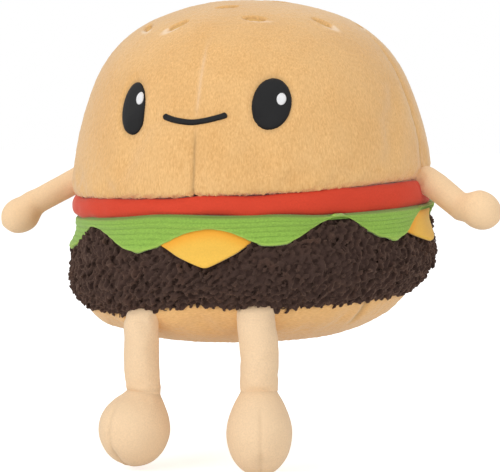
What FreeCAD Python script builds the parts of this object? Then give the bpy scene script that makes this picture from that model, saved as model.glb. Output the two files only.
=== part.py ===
"""A stuffed toy hamburger with a stitched face, two arms and two legs.

The body is a stack of sewn fabric layers round one fibrefill core: a bottom bun, a curly patty, a cheese
slice, a lettuce leaf, a tomato slice and a domed top bun. The arms are sewn into the seam above the tomato and
the legs into the seam below the patty, and each foot is set off from its leg by a line of stitching.

Millimetres. +Z is up, the face looks along -Y, and the toy's own left is +X. The origin is the centre of the
flat base that the toy is seated on. The legs hang below that base.
"""

import FreeCAD, Part
import math
import os

# Fabric thicknesses, pile included, and the gap between pieces that lie against each other
FIT = 0.3
BUN_PLUSH = 4.0
PATTY_SHERPA = 7.0
CHEESE_FELT = 1.6
LETTUCE_RIBBED = 2.4
LIMB_MINKY = 1.6

# Bottom bun: a flat base and a shallow curved side
BASE_RADIUS = 56.0
BOTTOM_BUN_HEIGHT = 22.0
BOTTOM_BUN_RADIUS = 97.0
BOTTOM_BUN_FLANK_RADIUS = 81.0
BOTTOM_BUN_FLANK_HEIGHT = 7.0

# Patty: a thick rounded band
PATTY_HEIGHT = 47.8
PATTY_RADIUS = 110.0
PATTY_WIDEST_HEIGHT = 23.5
PATTY_FOOT_RADIUS = 107.5
PATTY_FOOT_HEIGHT = 10.5
PATTY_SHOULDER_RADIUS = 102.0
PATTY_SHOULDER_DROP = 5.0

# Cheese: a square slice whose corners hang over the patty
CHEESE_CORNERS = 4
CHEESE_CORNER_DROP = 23.5
CHEESE_NOTCH_DROP = 0.8

# Lettuce: a leaf with an evenly scalloped edge
LETTUCE_LOBES = 8
LETTUCE_LOBE_DROP = 11.5
LETTUCE_VALLEY_DROP = 1.0

# Tomato: a plump round band
TOMATO_HEIGHT = 13.5
TOMATO_RADIUS = 107.5
TOMATO_BULGE = 3.6

# Radius of the hole through the sewn layers, which the core fills
LAYER_BORE_RADIUS = 92.0

# Top bun: a dome shaped by four darts
TOP_BUN_HEIGHT = 109.8
TOP_BUN_RADIUS = 106.5
TOP_BUN_WIDEST_HEIGHT = 11.8
TOP_BUN_SHOULDER_RADIUS = 94.0
TOP_BUN_SHOULDER_HEIGHT = 61.8
TOP_BUN_CROWN_RADIUS = 56.0
TOP_BUN_CROWN_DROP = 10.5
TOP_BUN_SEAM_RADIUS = 100.0
DARTS = 4
DART_GROOVE_RADIUS = 1.6
DART_TIP_LIFT = 2.0

# Embroidered face, placed by azimuth from the front and by height above the top bun's seam
STITCH_DEPTH = 1.2
STITCH_RISE = 0.3
EYE_AZIMUTH = 25.0
EYE_HEIGHT = 48.6
EYE_WIDTH = 21.0
EYE_LENGTH = 31.0
EYE_LEAN = 12.0
GLINT_WIDTH = 5.2
GLINT_LENGTH = 7.2
GLINT_ACROSS = 4.0
GLINT_UP = 4.5
GLINT_RISE = 0.7
MOUTH_HEIGHT = 46.0
MOUTH_WIDTH = 38.0
MOUTH_SAG = 6.0
MOUTH_LINE = 3.2

# Sesame seeds on the crown: distance from the axis, azimuth and turn of each
SEED_LENGTH = 12.0
SEED_WIDTH = 4.6
SEEDS = [
    (61.0, 21.7, 80), (41.1, 0.7, 95), (65.3, 59.0, 60), (66.2, -19.3, 120),
    (66.6, -43.3, 70), (24.6, 71.3, 40), (46.0, 128.0, 100), (30.0, -62.0, 30),
    (66.0, 97.0, 75), (64.0, 157.0, 110), (48.0, -128.0, 50), (64.0, -82.0, 95),
    (66.0, -163.0, 80), (26.0, 178.0, 60),
]

# Arms: a flat sewn end, a bowed tube and a mitten hand
ARM_SEAM_RADIUS = 103.8
ARM_SEAM_RISE = 0.8
ARM_SEAM_WIDTH = 18.0
ARM_DIAMETER = 15.2
ARM_LENGTH = 36.0
ARM_TAPER = 14.0
ARM_BOW_RADIUS = 75.0
ARM_SWEEP = 15.0
ARM_SLOW = 1.7
HAND_LENGTH = 26.0
HAND_WIDTH = 21.5
HAND_DROP = 1.0

# Legs: a tube, flat at the seam and at the ankle
LEG_AZIMUTH = 21.4
LEG_SEAM_WIDTH = 24.0
LEG_DIAMETER = 20.0
LEG_LENGTH = 45.0
LEG_TAPER = 14.0
LEG_FORWARD = 1.8
LEG_SLOW = 1.15
LEG_SEAM_GAP = 0.9
ANKLE_WIDTH = 20.5
ANKLE_TAPER = 11.0
ANKLE_GAP = 0.9

# Feet: eggs that tilt forward from the ankle
FOOT_LENGTH = 45.0
FOOT_WIDTH = 37.0
FOOT_DEPTH = 42.0
FOOT_WIDEST = 0.54
LEFT_FOOT_TILT = 8.0
RIGHT_FOOT_TILT = 16.0

# Thickness of a limb's edge where it is stitched flat
SEWN_EDGE = 0.9

# Heights of the seams, worked out from the layers
PATTY_BOTTOM = BOTTOM_BUN_HEIGHT + FIT
PATTY_TOP = PATTY_BOTTOM + PATTY_HEIGHT
CHEESE_OFFSET = FIT
LETTUCE_OFFSET = CHEESE_OFFSET + CHEESE_FELT + FIT
TOMATO_BOTTOM = PATTY_TOP + LETTUCE_OFFSET + LETTUCE_RIBBED + FIT
TOMATO_TOP = TOMATO_BOTTOM + TOMATO_HEIGHT
TOP_BUN_BOTTOM = TOMATO_TOP + FIT
TOP_BUN_TOP = TOP_BUN_BOTTOM + TOP_BUN_HEIGHT

# Reach of a cutting tool past what it cuts
BEYOND = 40.0

UP = FreeCAD.Vector(0, 0, 1)
ORIGIN = FreeCAD.Vector(0, 0, 0)


class Outline:
    """A run of arcs through points of the (radius, height) plane, each arc tangent to the one before."""

    def __init__(self, points, heading):
        self.points = points
        self.chords = []
        self.headings = [heading]
        for (r0, z0), (r1, z1) in zip(points, points[1:]):
            chord = math.degrees(math.atan2(z1 - z0, r1 - r0))
            turn = (chord - self.headings[-1] + 180) % 360 - 180
            self.chords.append(self.headings[-1] + turn)
            self.headings.append(self.headings[-1] + 2 * turn)

    def offset(self, distance):
        """The same run moved sideways, to the left of its heading where the distance is positive."""
        moved = []
        for (r, z), heading in zip(self.points, self.headings):
            side = math.radians(heading + 90)
            moved.append((r + distance * math.cos(side), z + distance * math.sin(side)))
        return Outline(moved, self.headings[0])

    def edges(self):
        """The arcs as edges in the XZ plane, in order."""
        made = []
        for k, chord in enumerate(self.chords):
            (r0, z0), (r1, z1) = self.points[k], self.points[k + 1]
            bend = math.radians(self.headings[k] - chord)
            if abs(bend) < 1e-6:
                made.append(line(self.points[k], self.points[k + 1]))
                continue
            bulge = math.hypot(r1 - r0, z1 - z0) / 2 * math.tan(bend / 2)
            side = math.radians(chord + 90)
            middle = ((r0 + r1) / 2 + bulge * math.cos(side), (z0 + z1) / 2 + bulge * math.sin(side))
            made.append(Part.Arc(at(self.points[k]), at(middle), at(self.points[k + 1])).toShape())
        return made

    def meet(self, start, end):
        """The point where the line from start to end meets the run, and the unit normal to its left there."""
        _, pairs, where = Part.Wire(self.edges()).distToShape(line(start, end))
        point, info = pairs[0][0], where[0]
        if info[0] == "Edge":
            tangent = Part.Wire(self.edges()).Edges[info[1]].tangentAt(info[2])
        else:
            heading = math.radians(self.headings[info[1]])
            tangent = FreeCAD.Vector(math.cos(heading), 0, math.sin(heading))
        return point, FreeCAD.Vector(-tangent.z, 0, tangent.x)


def at(point):
    """A (radius, height) point as a vector in the XZ plane."""
    return FreeCAD.Vector(point[0], 0, point[1])


def line(start, end):
    """A straight edge between two (radius, height) points."""
    return Part.LineSegment(at(start), at(end)).toShape()


def face_of(edges):
    """The flat face inside a closed run of edges."""
    return Part.Face(Part.Wire(edges))


def turned(edges):
    """The solid that a closed run of edges sweeps out round the Z axis."""
    return face_of(edges).revolve(ORIGIN, UP, 360)


def shell(outer, inner):
    """The ring of fabric between two outlines that start and end side by side."""
    ends = [line(outer.points[-1], inner.points[-1]), line(inner.points[0], outer.points[0])]
    return turned(outer.edges() + ends[:1] + inner.edges()[::-1] + ends[1:])


def core(outline):
    """Everything between an outline and the Z axis."""
    (r0, z0), (r1, z1) = outline.points[0], outline.points[-1]
    closing = [line((r1, z1), (0, z1)), line((0, z1), (0, z0))]
    if r0 > 0:
        closing.append(line((0, z0), (r0, z0)))
    return turned(outline.edges() + closing)


def cylinder(radius, bottom, top):
    """An upright cylinder on the Z axis."""
    return Part.makeCylinder(radius, top - bottom, at((0, bottom)))


def at_azimuth(shape, azimuth):
    """A copy of a shape made at the front, turned round the Z axis towards the toy's left."""
    copy = shape.copy()
    copy.rotate(ORIGIN, UP, azimuth)
    return copy


def round_pattern(shape, count, start=0.0):
    """Copies of a shape made at the front, evenly spaced round the Z axis."""
    return [at_azimuth(shape, start + 360.0 * k / count) for k in range(count)]


def facing_front(edges):
    """A cutter that drives a closed run of (across, height) edges outwards through the front."""
    reach = max(PATTY_RADIUS, TOMATO_RADIUS) + BEYOND
    return face_of(edges).extrude(FreeCAD.Vector(0, -reach, 0))


# Outlines of the sewn layers, each with the stuffing on its right, apart from the bottom bun's


def bottom_bun_outline():
    flank = (BOTTOM_BUN_FLANK_RADIUS, BOTTOM_BUN_FLANK_HEIGHT)
    return Outline([(0, 0), (BASE_RADIUS, 0), flank, (BOTTOM_BUN_RADIUS, BOTTOM_BUN_HEIGHT)], 0)


def patty_outline():
    return Outline(
        [
            (LAYER_BORE_RADIUS + 2, PATTY_TOP),
            (PATTY_SHOULDER_RADIUS, PATTY_TOP - PATTY_SHOULDER_DROP),
            (PATTY_RADIUS, PATTY_BOTTOM + PATTY_WIDEST_HEIGHT),
            (PATTY_FOOT_RADIUS, PATTY_BOTTOM + PATTY_FOOT_HEIGHT),
            (BOTTOM_BUN_RADIUS, PATTY_BOTTOM),
        ],
        0,
    )


def top_bun_outline():
    return Outline(
        [
            (0, TOP_BUN_TOP),
            (TOP_BUN_CROWN_RADIUS, TOP_BUN_TOP - TOP_BUN_CROWN_DROP),
            (TOP_BUN_SHOULDER_RADIUS, TOP_BUN_BOTTOM + TOP_BUN_SHOULDER_HEIGHT),
            (TOP_BUN_RADIUS, TOP_BUN_BOTTOM + TOP_BUN_WIDEST_HEIGHT),
            (TOP_BUN_SEAM_RADIUS, TOP_BUN_BOTTOM),
        ],
        0,
    )


# The layers of the body


def bottom_bun():
    outer = bottom_bun_outline()
    return shell(outer, outer.offset(BUN_PLUSH))


def patty():
    outer = patty_outline()
    return shell(outer, outer.offset(-PATTY_SHERPA))


def over_patty(offset, thickness):
    """A sheet that is sewn in on top of the patty and lies down over its side."""
    upper = Outline(patty_outline().points[:3], 0)
    return shell(upper.offset(offset + thickness), upper.offset(offset))


def cheese():
    """A corner hangs at the front, at each side and at the back, and the notches between them reach the seam."""
    half = (PATTY_RADIUS + LETTUCE_OFFSET) * math.sin(math.pi / CHEESE_CORNERS)
    tip, notch = PATTY_TOP - CHEESE_CORNER_DROP, PATTY_TOP - CHEESE_NOTCH_DROP
    corners = [(-half, tip), (0, notch), (half, tip), (half, tip - BEYOND), (-half, tip - BEYOND)]
    cutter = facing_front([line(p, q) for p, q in zip(corners, corners[1:] + corners[:1])])
    sheet = over_patty(CHEESE_OFFSET, CHEESE_FELT)
    return sheet.cut(round_pattern(cutter, CHEESE_CORNERS, 180.0 / CHEESE_CORNERS))


def lettuce():
    """A valley of the scalloped edge lies over each corner of the cheese and half way between."""
    reach = PATTY_RADIUS + LETTUCE_OFFSET + LETTUCE_RIBBED
    half = reach * math.sin(math.pi / LETTUCE_LOBES)
    lobe, valley = PATTY_TOP - LETTUCE_LOBE_DROP, PATTY_TOP - LETTUCE_VALLEY_DROP
    middle = (lobe + valley) / 2
    wave = Outline([(-half, lobe), (-half / 2, middle), (half / 2, middle), (half, lobe)], 0)
    below = [(half, lobe), (half, lobe - BEYOND), (-half, lobe - BEYOND), (-half, lobe)]
    cutter = facing_front(wave.edges() + [line(p, q) for p, q in zip(below, below[1:])])
    sheet = over_patty(LETTUCE_OFFSET, LETTUCE_RIBBED)
    return sheet.cut(round_pattern(cutter, LETTUCE_LOBES))


def tomato():
    edge = TOMATO_RADIUS - TOMATO_BULGE
    middle = (TOMATO_BOTTOM + TOMATO_TOP) / 2
    leaving = 90 - 2 * math.degrees(math.atan2(TOMATO_BULGE, TOMATO_HEIGHT / 2))
    rim = Outline([(edge, TOMATO_BOTTOM), (TOMATO_RADIUS, middle), (edge, TOMATO_TOP)], leaving)
    inside = [
        rim.points[-1],
        (LAYER_BORE_RADIUS, TOMATO_TOP),
        (LAYER_BORE_RADIUS, TOMATO_BOTTOM),
        rim.points[0],
    ]
    return turned(rim.edges() + [line(p, q) for p, q in zip(inside, inside[1:])])


def dart_groove():
    """The groove along one dart: it follows the front of the dome and runs out at the dart's tip."""
    outer = top_bun_outline()
    lift = DART_GROOVE_RADIUS + DART_TIP_LIFT
    low, high = outer.offset(DART_GROOVE_RADIUS / 2), outer.offset(lift)
    path = Outline([high.points[1], outer.points[2], low.points[3], low.points[4]], outer.headings[1])
    spine = Part.Wire(path.edges())
    start = path.points[0]
    heading = math.radians(path.headings[0])
    ring = Part.Circle(at(start), FreeCAD.Vector(math.cos(heading), 0, math.sin(heading)), DART_GROOVE_RADIUS)
    groove = spine.makePipeShell([Part.Wire(ring.toShape())], True, False)
    groove.rotate(ORIGIN, UP, -90)
    return groove


def top_bun():
    outer = top_bun_outline()
    dome = shell(outer, outer.offset(-BUN_PLUSH))
    pressed = [stitched(outline, FIT, -STITCH_DEPTH, BEYOND) for outline in face_outlines()]
    return dome.cut(round_pattern(dart_groove(), DARTS) + pressed)


def body_stuffing():
    """Fibrefill: one core that fills the dome, the patty and the bottom bun through the bore of the layers."""
    dome = core(top_bun_outline().offset(-BUN_PLUSH - FIT))
    middle = core(patty_outline().offset(-PATTY_SHERPA - FIT))
    low = core(bottom_bun_outline().offset(BUN_PLUSH + FIT))
    waist = cylinder(LAYER_BORE_RADIUS - FIT, BOTTOM_BUN_HEIGHT, TOP_BUN_BOTTOM + BUN_PLUSH + FIT)
    return dome.fuse([middle, low, waist]).removeSplitter()


# The embroidery


def on_bun(azimuth, start, end):
    """The point of the top bun on a (radius, height) line at an azimuth, and its outward normal."""
    point, normal = top_bun_outline().meet(start, end)
    turn = FreeCAD.Rotation(UP, azimuth - 90)
    return turn.multVec(point), turn.multVec(normal)


def face_frame(azimuth, height, lean=0.0):
    """A placement on the side of the bun: local X across to the toy's left, Y up and Z outwards."""
    level = TOP_BUN_BOTTOM + height
    point, normal = on_bun(azimuth, (0, level), (TOP_BUN_RADIUS + BEYOND, level))
    across = FreeCAD.Rotation(UP, azimuth).multVec(FreeCAD.Vector(1, 0, 0))
    axes = FreeCAD.Rotation(across, normal.cross(across), normal, "ZXY")
    return FreeCAD.Placement(point, axes.multiply(FreeCAD.Rotation(UP, lean)))


def crown_frame(radius, azimuth, turn):
    """A placement on the crown of the bun, with local Z outwards."""
    point, normal = on_bun(azimuth, (radius, TOP_BUN_BOTTOM + TOP_BUN_SHOULDER_HEIGHT), (radius, TOP_BUN_TOP + BEYOND))
    across = FreeCAD.Rotation(UP, azimuth).multVec(FreeCAD.Vector(1, 0, 0))
    axes = FreeCAD.Rotation(across, normal.cross(across), normal, "ZXY")
    return FreeCAD.Placement(point, axes.multiply(FreeCAD.Rotation(UP, turn)))


def oval_wire(half_across, half_up, centre=(0.0, 0.0)):
    """A four-arc oval in the XY plane."""
    a, b = max(half_across, half_up), min(half_across, half_up)
    diagonal = math.hypot(a, b)
    tight = (a * a + b * b - (a - b) * diagonal) / (2 * a)
    wide = (a * a + b * b + (a - b) * diagonal) / (2 * b)
    away = math.hypot(a - tight, wide - b)
    if away < 1e-6:
        join = (a * math.sqrt(0.5), a * math.sqrt(0.5))
    else:
        join = (a - tight + tight * (a - tight) / away, tight * (wide - b) / away)
    quarter = [(a, 0), join, (0, b), (-join[0], join[1]), (-a, 0), (-join[0], -join[1]), (0, -b), (join[0], -join[1])]
    if half_up > half_across:
        quarter = [(-y, x) for x, y in quarter[6:] + quarter[:6]]
    spots = [FreeCAD.Vector(x + centre[0], y + centre[1], 0) for x, y in quarter]
    order = [(7, 0, 1), (1, 2, 3), (3, 4, 5), (5, 6, 7)]
    return Part.Wire([Part.Arc(spots[i], spots[j], spots[k]).toShape() for i, j, k in order])


def lens_wire(half_length, half_width):
    """A seed: two arcs that meet in points, along local X."""
    ends = [FreeCAD.Vector(half_length, 0, 0), FreeCAD.Vector(-half_length, 0, 0)]
    sides = [FreeCAD.Vector(0, half_width, 0), FreeCAD.Vector(0, -half_width, 0)]
    return Part.Wire([Part.Arc(ends[0], sides[0], ends[1]).toShape(), Part.Arc(ends[1], sides[1], ends[0]).toShape()])


def smile_wire(grow):
    """A line of thread in the shape of a smile, with round ends, in the XY plane."""
    half, thick = MOUTH_WIDTH / 2, MOUTH_LINE / 2 + grow
    radius = (half * half + MOUTH_SAG * MOUTH_SAG) / (2 * MOUTH_SAG)
    swing = math.asin(half / radius)
    centre_up = radius - MOUTH_SAG

    def spot(distance, angle, past=0.0):
        x, y = distance * math.sin(angle), centre_up - distance * math.cos(angle)
        return FreeCAD.Vector(x + past * math.cos(angle), y + past * math.sin(angle), 0)

    outer, inner = radius + thick, radius - thick
    arcs = [
        (spot(outer, -swing), spot(outer, 0), spot(outer, swing)),
        (spot(outer, swing), spot(radius, swing, thick), spot(inner, swing)),
        (spot(inner, swing), spot(inner, 0), spot(inner, -swing)),
        (spot(inner, -swing), spot(radius, -swing, -thick), spot(outer, -swing)),
    ]
    return Part.Wire([Part.Arc(*points).toShape() for points in arcs])


def eye_outline(side):
    """side is 1 for the toy's left eye and -1 for its right. The two lean apart at the top."""
    frame = face_frame(side * EYE_AZIMUTH, EYE_HEIGHT, -side * EYE_LEAN)
    return frame, lambda grow: oval_wire(EYE_WIDTH / 2 + grow, EYE_LENGTH / 2 + grow)


def mouth_outline():
    return face_frame(0, MOUTH_HEIGHT), smile_wire


def seed_outlines():
    for radius, azimuth, turn in SEEDS:
        frame = crown_frame(radius, azimuth, turn)
        yield frame, lambda grow: lens_wire(SEED_LENGTH / 2 + grow, SEED_WIDTH / 2 + grow)


def face_outlines():
    """Every outline that the stitching presses into the pile of the top bun."""
    return [eye_outline(1), eye_outline(-1), mouth_outline(), *seed_outlines()]


def stitched(outline, grow, low, high):
    """The part of the layer between two offsets of the top bun that lies inside an outline."""
    frame, wire = outline
    prism = Part.Face(wire(grow)).extrude(FreeCAD.Vector(0, 0, 2 * BEYOND))
    prism.translate(FreeCAD.Vector(0, 0, -BEYOND))
    prism.Placement = frame.multiply(prism.Placement)
    dome = top_bun_outline()
    return prism.common(shell(dome.offset(high), dome.offset(low)))


def eye(side):
    return stitched(eye_outline(side), 0, FIT - STITCH_DEPTH, STITCH_RISE)


def glint(side):
    """A white fleck on the upper part of each eye, to the toy's left of its middle."""
    frame, _ = eye_outline(side)

    def fleck(grow):
        return oval_wire(GLINT_WIDTH / 2 + grow, GLINT_LENGTH / 2 + grow, (GLINT_ACROSS, GLINT_UP))

    return stitched((frame, fleck), 0, STITCH_RISE, STITCH_RISE + GLINT_RISE)


def mouth():
    return stitched(mouth_outline(), 0, FIT - STITCH_DEPTH, STITCH_RISE)


def sesame_seeds():
    return Part.Compound([stitched(outline, 0, FIT - STITCH_DEPTH, STITCH_RISE) for outline in seed_outlines()])


# The limbs: lofts through ovals. A station is (distance along, half width, half thickness,
# sideways shift of its middle)


def swelling(share, thin, full, slow):
    """Half thickness at a share of the taper from a sewn edge. A larger slow keeps the edge thin for longer."""
    return thin + (full - thin) * share**slow


def eased(share):
    return share * share * (3 - 2 * share)


def inset(stations, depth):
    """The stations of what lies under a fabric of that depth, without those that are too thin to hold any."""
    least = depth + SEWN_EDGE
    return [(s, a - depth, b - depth, drop) for s, a, b, drop in stations if b > least]


def loft(stations, place):
    """A solid through an oval at each station. place gives the placement of a station on the limb."""
    wires = []
    for distance, half_width, half_thickness, drop in stations:
        wire = oval_wire(half_width, half_thickness)
        wire.Placement = place(distance, drop)
        wires.append(wire)
    return Part.makeLoft(wires, True, False)


def covered(stations, place):
    """The fabric of a limb, and the stuffing inside it."""
    cover = loft(stations, place).cut(loft(inset(stations, LIMB_MINKY), place))
    return cover, loft(inset(stations, LIMB_MINKY + FIT), place)


def halves(cover, direction):
    """A cover parted along its two seams, on the plane through the origin that the direction is square to."""
    size = 10 * BEYOND
    box = Part.makeBox(size, size, size, FreeCAD.Vector(-size / 2, -size / 2, 0))
    box.Placement = FreeCAD.Placement(ORIGIN, FreeCAD.Rotation(UP, direction))
    return cover.common(box), cover.cut(box)


def arm_stations():
    thin, full, hand = SEWN_EDGE / 2, ARM_DIAMETER / 2, HAND_WIDTH / 2
    stations = []
    for share in (0, 0.35, 0.65, 1):
        width = ARM_SEAM_WIDTH / 2 + (full - ARM_SEAM_WIDTH / 2) * share
        stations.append((share * ARM_TAPER, width, swelling(share, thin, full, ARM_SLOW), 0))
    stations.append((ARM_LENGTH, full, full, 0))
    for share in (0.25, 0.5, 0.75, 0.9, 0.99):
        if share <= 0.5:
            size = full + (hand - full) * eased(2 * share)
        else:
            size = hand * math.sqrt(1 - (2 * share - 1) ** 2)
        stations.append((ARM_LENGTH + share * HAND_LENGTH, size, size, HAND_DROP * eased(min(1, 2 * share))))
    return stations


def along_arm(distance, drop):
    """A station's place on the left arm, which leaves the seam level, bows downwards and sweeps to the front.

    The sewn edge keeps to the seam, so the sweep comes in over the taper.
    """
    bend = distance / ARM_BOW_RADIUS
    out = ARM_BOW_RADIUS * math.sin(bend) - drop * math.sin(bend)
    down = ARM_BOW_RADIUS * (1 - math.cos(bend)) + drop * math.cos(bend)
    ahead = FreeCAD.Vector(math.cos(bend), 0, -math.sin(bend))
    axes = FreeCAD.Rotation(FreeCAD.Vector(0, 1, 0), ahead.cross(FreeCAD.Vector(0, 1, 0)), ahead, "ZXY")
    still_to_sweep = ARM_SWEEP * max(0.0, 1 - distance / ARM_TAPER)
    return FreeCAD.Placement(FreeCAD.Vector(out, 0, -down), FreeCAD.Rotation(UP, still_to_sweep).multiply(axes))


def shoulder():
    """The left arm's hinge: the middle of its sewn edge, in the groove between the tomato and the top bun."""
    return FreeCAD.Vector(ARM_SEAM_RADIUS, 0, TOMATO_TOP + SEWN_EDGE / 2 + ARM_SEAM_RISE)


def arm(side):
    """The two fabric halves and the stuffing of an arm. side is 1 for the toy's left and -1 for its right."""
    cover, filling = covered(arm_stations(), along_arm)
    back, front = halves(cover, FreeCAD.Vector(0, 1, 0))
    pieces = {"front": front, "back": back, "stuffing": filling}
    for name, piece in pieces.items():
        piece.rotate(ORIGIN, UP, -ARM_SWEEP)
        piece.translate(shoulder())
        if side < 0:
            pieces[name] = piece.mirror(ORIGIN, FreeCAD.Vector(1, 0, 0))
    return pieces


def leg_stations():
    thin, full = SEWN_EDGE / 2, LEG_DIAMETER / 2
    stations = []
    for share in (0, 0.35, 0.65, 1):
        width = LEG_SEAM_WIDTH / 2 + (full - LEG_SEAM_WIDTH / 2) * share
        swell = swelling(share, thin, full, LEG_SLOW)
        stations.append((share * LEG_TAPER, width, swell, LEG_FORWARD * eased(share)))
    for share in (1, 0.65, 0.35, 0):
        width = ANKLE_WIDTH / 2 + (full - ANKLE_WIDTH / 2) * share
        swell = swelling(share, thin, full, LEG_SLOW)
        stations.append((LEG_LENGTH - share * ANKLE_TAPER, width, swell, LEG_FORWARD * eased(share)))
    return stations


def foot_stations():
    thin = SEWN_EDGE / 2
    stations = []
    for share in (0, 0.08, 0.18, 0.36, 0.54, 0.72, 0.86, 0.95, 0.99):
        if share <= FOOT_WIDEST:
            rise = math.sin(math.pi / 2 * share / FOOT_WIDEST)
            width = ANKLE_WIDTH / 2 + (FOOT_WIDTH - ANKLE_WIDTH) / 2 * rise
            depth = thin + (FOOT_DEPTH / 2 - thin) * rise
        else:
            fall = math.sqrt(1 - ((share - FOOT_WIDEST) / (1 - FOOT_WIDEST)) ** 2)
            width, depth = FOOT_WIDTH / 2 * fall, FOOT_DEPTH / 2 * fall
        stations.append((share * FOOT_LENGTH, width, depth, 0))
    return stations


def straight_down(distance, forward):
    """A station's place on a leg or a foot, which run down from the origin."""
    down = FreeCAD.Rotation(FreeCAD.Vector(1, 0, 0), 180)
    return FreeCAD.Placement(FreeCAD.Vector(0, -forward, -distance), down)


def hip(side):
    """A leg's hinge, just clear of the seam between the patty and the bottom bun."""
    slope = math.radians(bottom_bun_outline().headings[-1])
    radius = BOTTOM_BUN_RADIUS + LEG_SEAM_GAP * math.sin(slope)
    height = BOTTOM_BUN_HEIGHT - LEG_SEAM_GAP * math.cos(slope)
    return at_azimuth(Part.Vertex(0, -radius, height), side * LEG_AZIMUTH).Point


def set_on_leg(shape, side, drop, tilt=0.0):
    """Puts a shape made at the origin on the leg: tilted forward, lowered, and turned to the leg's azimuth."""
    turn = FreeCAD.Rotation(UP, side * LEG_AZIMUTH).multiply(FreeCAD.Rotation(FreeCAD.Vector(-1, 0, 0), tilt))
    shape.Placement = FreeCAD.Placement(hip(side) - UP * drop, turn).multiply(shape.Placement)
    return shape


def leg(side):
    """The fabric tube and the stuffing of a leg."""
    cover, filling = covered(leg_stations(), straight_down)
    return {"cover": set_on_leg(cover, side, 0), "stuffing": set_on_leg(filling, side, 0)}


def foot(side):
    """The two fabric halves and the stuffing of a foot. The seam between the halves runs over the toe."""
    cover, filling = covered(foot_stations(), straight_down)
    plus, minus = halves(cover, FreeCAD.Vector(1, 0, 0))
    outer, inner = (plus, minus) if side > 0 else (minus, plus)
    tilt = LEFT_FOOT_TILT if side > 0 else RIGHT_FOOT_TILT
    drop = LEG_LENGTH + ANKLE_GAP
    pieces = {"outer": outer, "inner": inner, "stuffing": filling}
    return {name: set_on_leg(piece, side, drop, tilt) for name, piece in pieces.items()}


def main():
    parts = {
        "bottom_bun": bottom_bun(),
        "patty": patty(),
        "cheese": cheese(),
        "lettuce": lettuce(),
        "tomato": tomato(),
        "top_bun": top_bun(),
        "body_stuffing": body_stuffing(),
        "mouth": mouth(),
        "sesame_seeds": sesame_seeds(),
    }
    for name, side in (("left", 1), ("right", -1)):
        parts[f"{name}_eye"] = eye(side)
        parts[f"{name}_eye_glint"] = glint(side)
        for piece, shape in arm(side).items():
            parts[f"{name}_arm_{piece}"] = shape
        for piece, shape in leg(side).items():
            parts[f"{name}_leg_{piece}"] = shape
        for piece, shape in foot(side).items():
            parts[f"{name}_foot_{piece}"] = shape
    os.makedirs("parts", exist_ok=True)
    for name, shape in parts.items():
        shape.exportStep(f"parts/{name}.step")
        solids = len(shape.Solids)
        print(f"{name}: {solids} solids, valid {shape.isValid()}, {shape.Volume / 1000:.2f} cm3")
    for name, side in (("left", 1), ("right", -1)):
        print(f"{name} hip {hip(side)}, ankle {hip(side) - UP * (LEG_LENGTH + ANKLE_GAP / 2)}")
    print(f"left shoulder {shoulder()}")


main()
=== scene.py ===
import math

import bpy
import numpy as np
from mathutils import Matrix, Vector
from mathutils.bvhtree import BVHTree


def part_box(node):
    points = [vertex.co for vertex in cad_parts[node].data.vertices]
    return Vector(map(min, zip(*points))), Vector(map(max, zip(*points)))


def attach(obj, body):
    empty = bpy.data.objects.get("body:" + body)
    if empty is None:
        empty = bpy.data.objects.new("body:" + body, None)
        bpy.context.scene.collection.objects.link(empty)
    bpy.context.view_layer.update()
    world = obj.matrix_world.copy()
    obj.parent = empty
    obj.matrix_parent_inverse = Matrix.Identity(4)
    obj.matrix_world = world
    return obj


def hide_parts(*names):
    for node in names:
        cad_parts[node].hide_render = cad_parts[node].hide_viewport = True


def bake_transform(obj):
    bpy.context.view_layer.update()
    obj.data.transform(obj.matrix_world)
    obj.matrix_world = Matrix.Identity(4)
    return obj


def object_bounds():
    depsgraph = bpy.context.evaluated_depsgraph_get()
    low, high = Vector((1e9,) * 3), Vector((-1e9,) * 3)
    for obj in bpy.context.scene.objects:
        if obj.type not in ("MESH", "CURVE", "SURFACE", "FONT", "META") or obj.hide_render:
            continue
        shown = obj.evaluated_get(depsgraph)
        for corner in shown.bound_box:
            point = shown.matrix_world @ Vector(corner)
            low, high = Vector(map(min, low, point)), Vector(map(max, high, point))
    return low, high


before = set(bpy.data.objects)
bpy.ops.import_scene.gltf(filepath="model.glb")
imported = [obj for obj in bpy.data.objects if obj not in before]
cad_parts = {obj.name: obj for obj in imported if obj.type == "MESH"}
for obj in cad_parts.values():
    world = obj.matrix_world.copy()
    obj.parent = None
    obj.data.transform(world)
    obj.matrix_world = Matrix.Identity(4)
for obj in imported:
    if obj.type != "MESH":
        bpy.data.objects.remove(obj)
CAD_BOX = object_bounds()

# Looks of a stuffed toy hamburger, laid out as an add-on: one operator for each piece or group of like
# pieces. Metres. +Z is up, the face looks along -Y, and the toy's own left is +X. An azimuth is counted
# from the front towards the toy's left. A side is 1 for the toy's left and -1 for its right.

bl_info = {
    "name": "Stuffed Hamburger",
    "version": (1, 0, 0),
    "blender": (4, 5, 0),
    "location": "3D View > Sidebar > Burger",
    "description": "Builds the plush, felt and stitching of a stuffed toy hamburger around its frame",
    "category": "Add Mesh",
}

MM = 0.001
SIDES = (("left", 1), ("right", -1))
BUN_LOW, BUN_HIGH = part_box("top_bun")
PATTY_LOW, PATTY_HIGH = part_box("patty")
TOMATO_LOW, TOMATO_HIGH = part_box("tomato")
BASE_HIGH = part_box("bottom_bun")[1]
SEAM_TOP = TOMATO_HIGH.z + 0.3 * MM


def linear(red, green, blue):
    """A colour given as screen values from 0 to 255, as the shader wants it."""
    shares = [value / 255 for value in (red, green, blue)]
    return tuple(c / 12.92 if c < 0.043 else ((c + 0.055) / 1.055) ** 2.4 for c in shares)


def length(name, default, description):
    return bpy.props.FloatProperty(
        name=name, default=default, description=description, unit="LENGTH", precision=4
    )


def colour(name, screen, description):
    return bpy.props.FloatVectorProperty(
        name=name, default=linear(*screen), description=description, subtype="COLOR", size=3, min=0, max=1
    )


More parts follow.
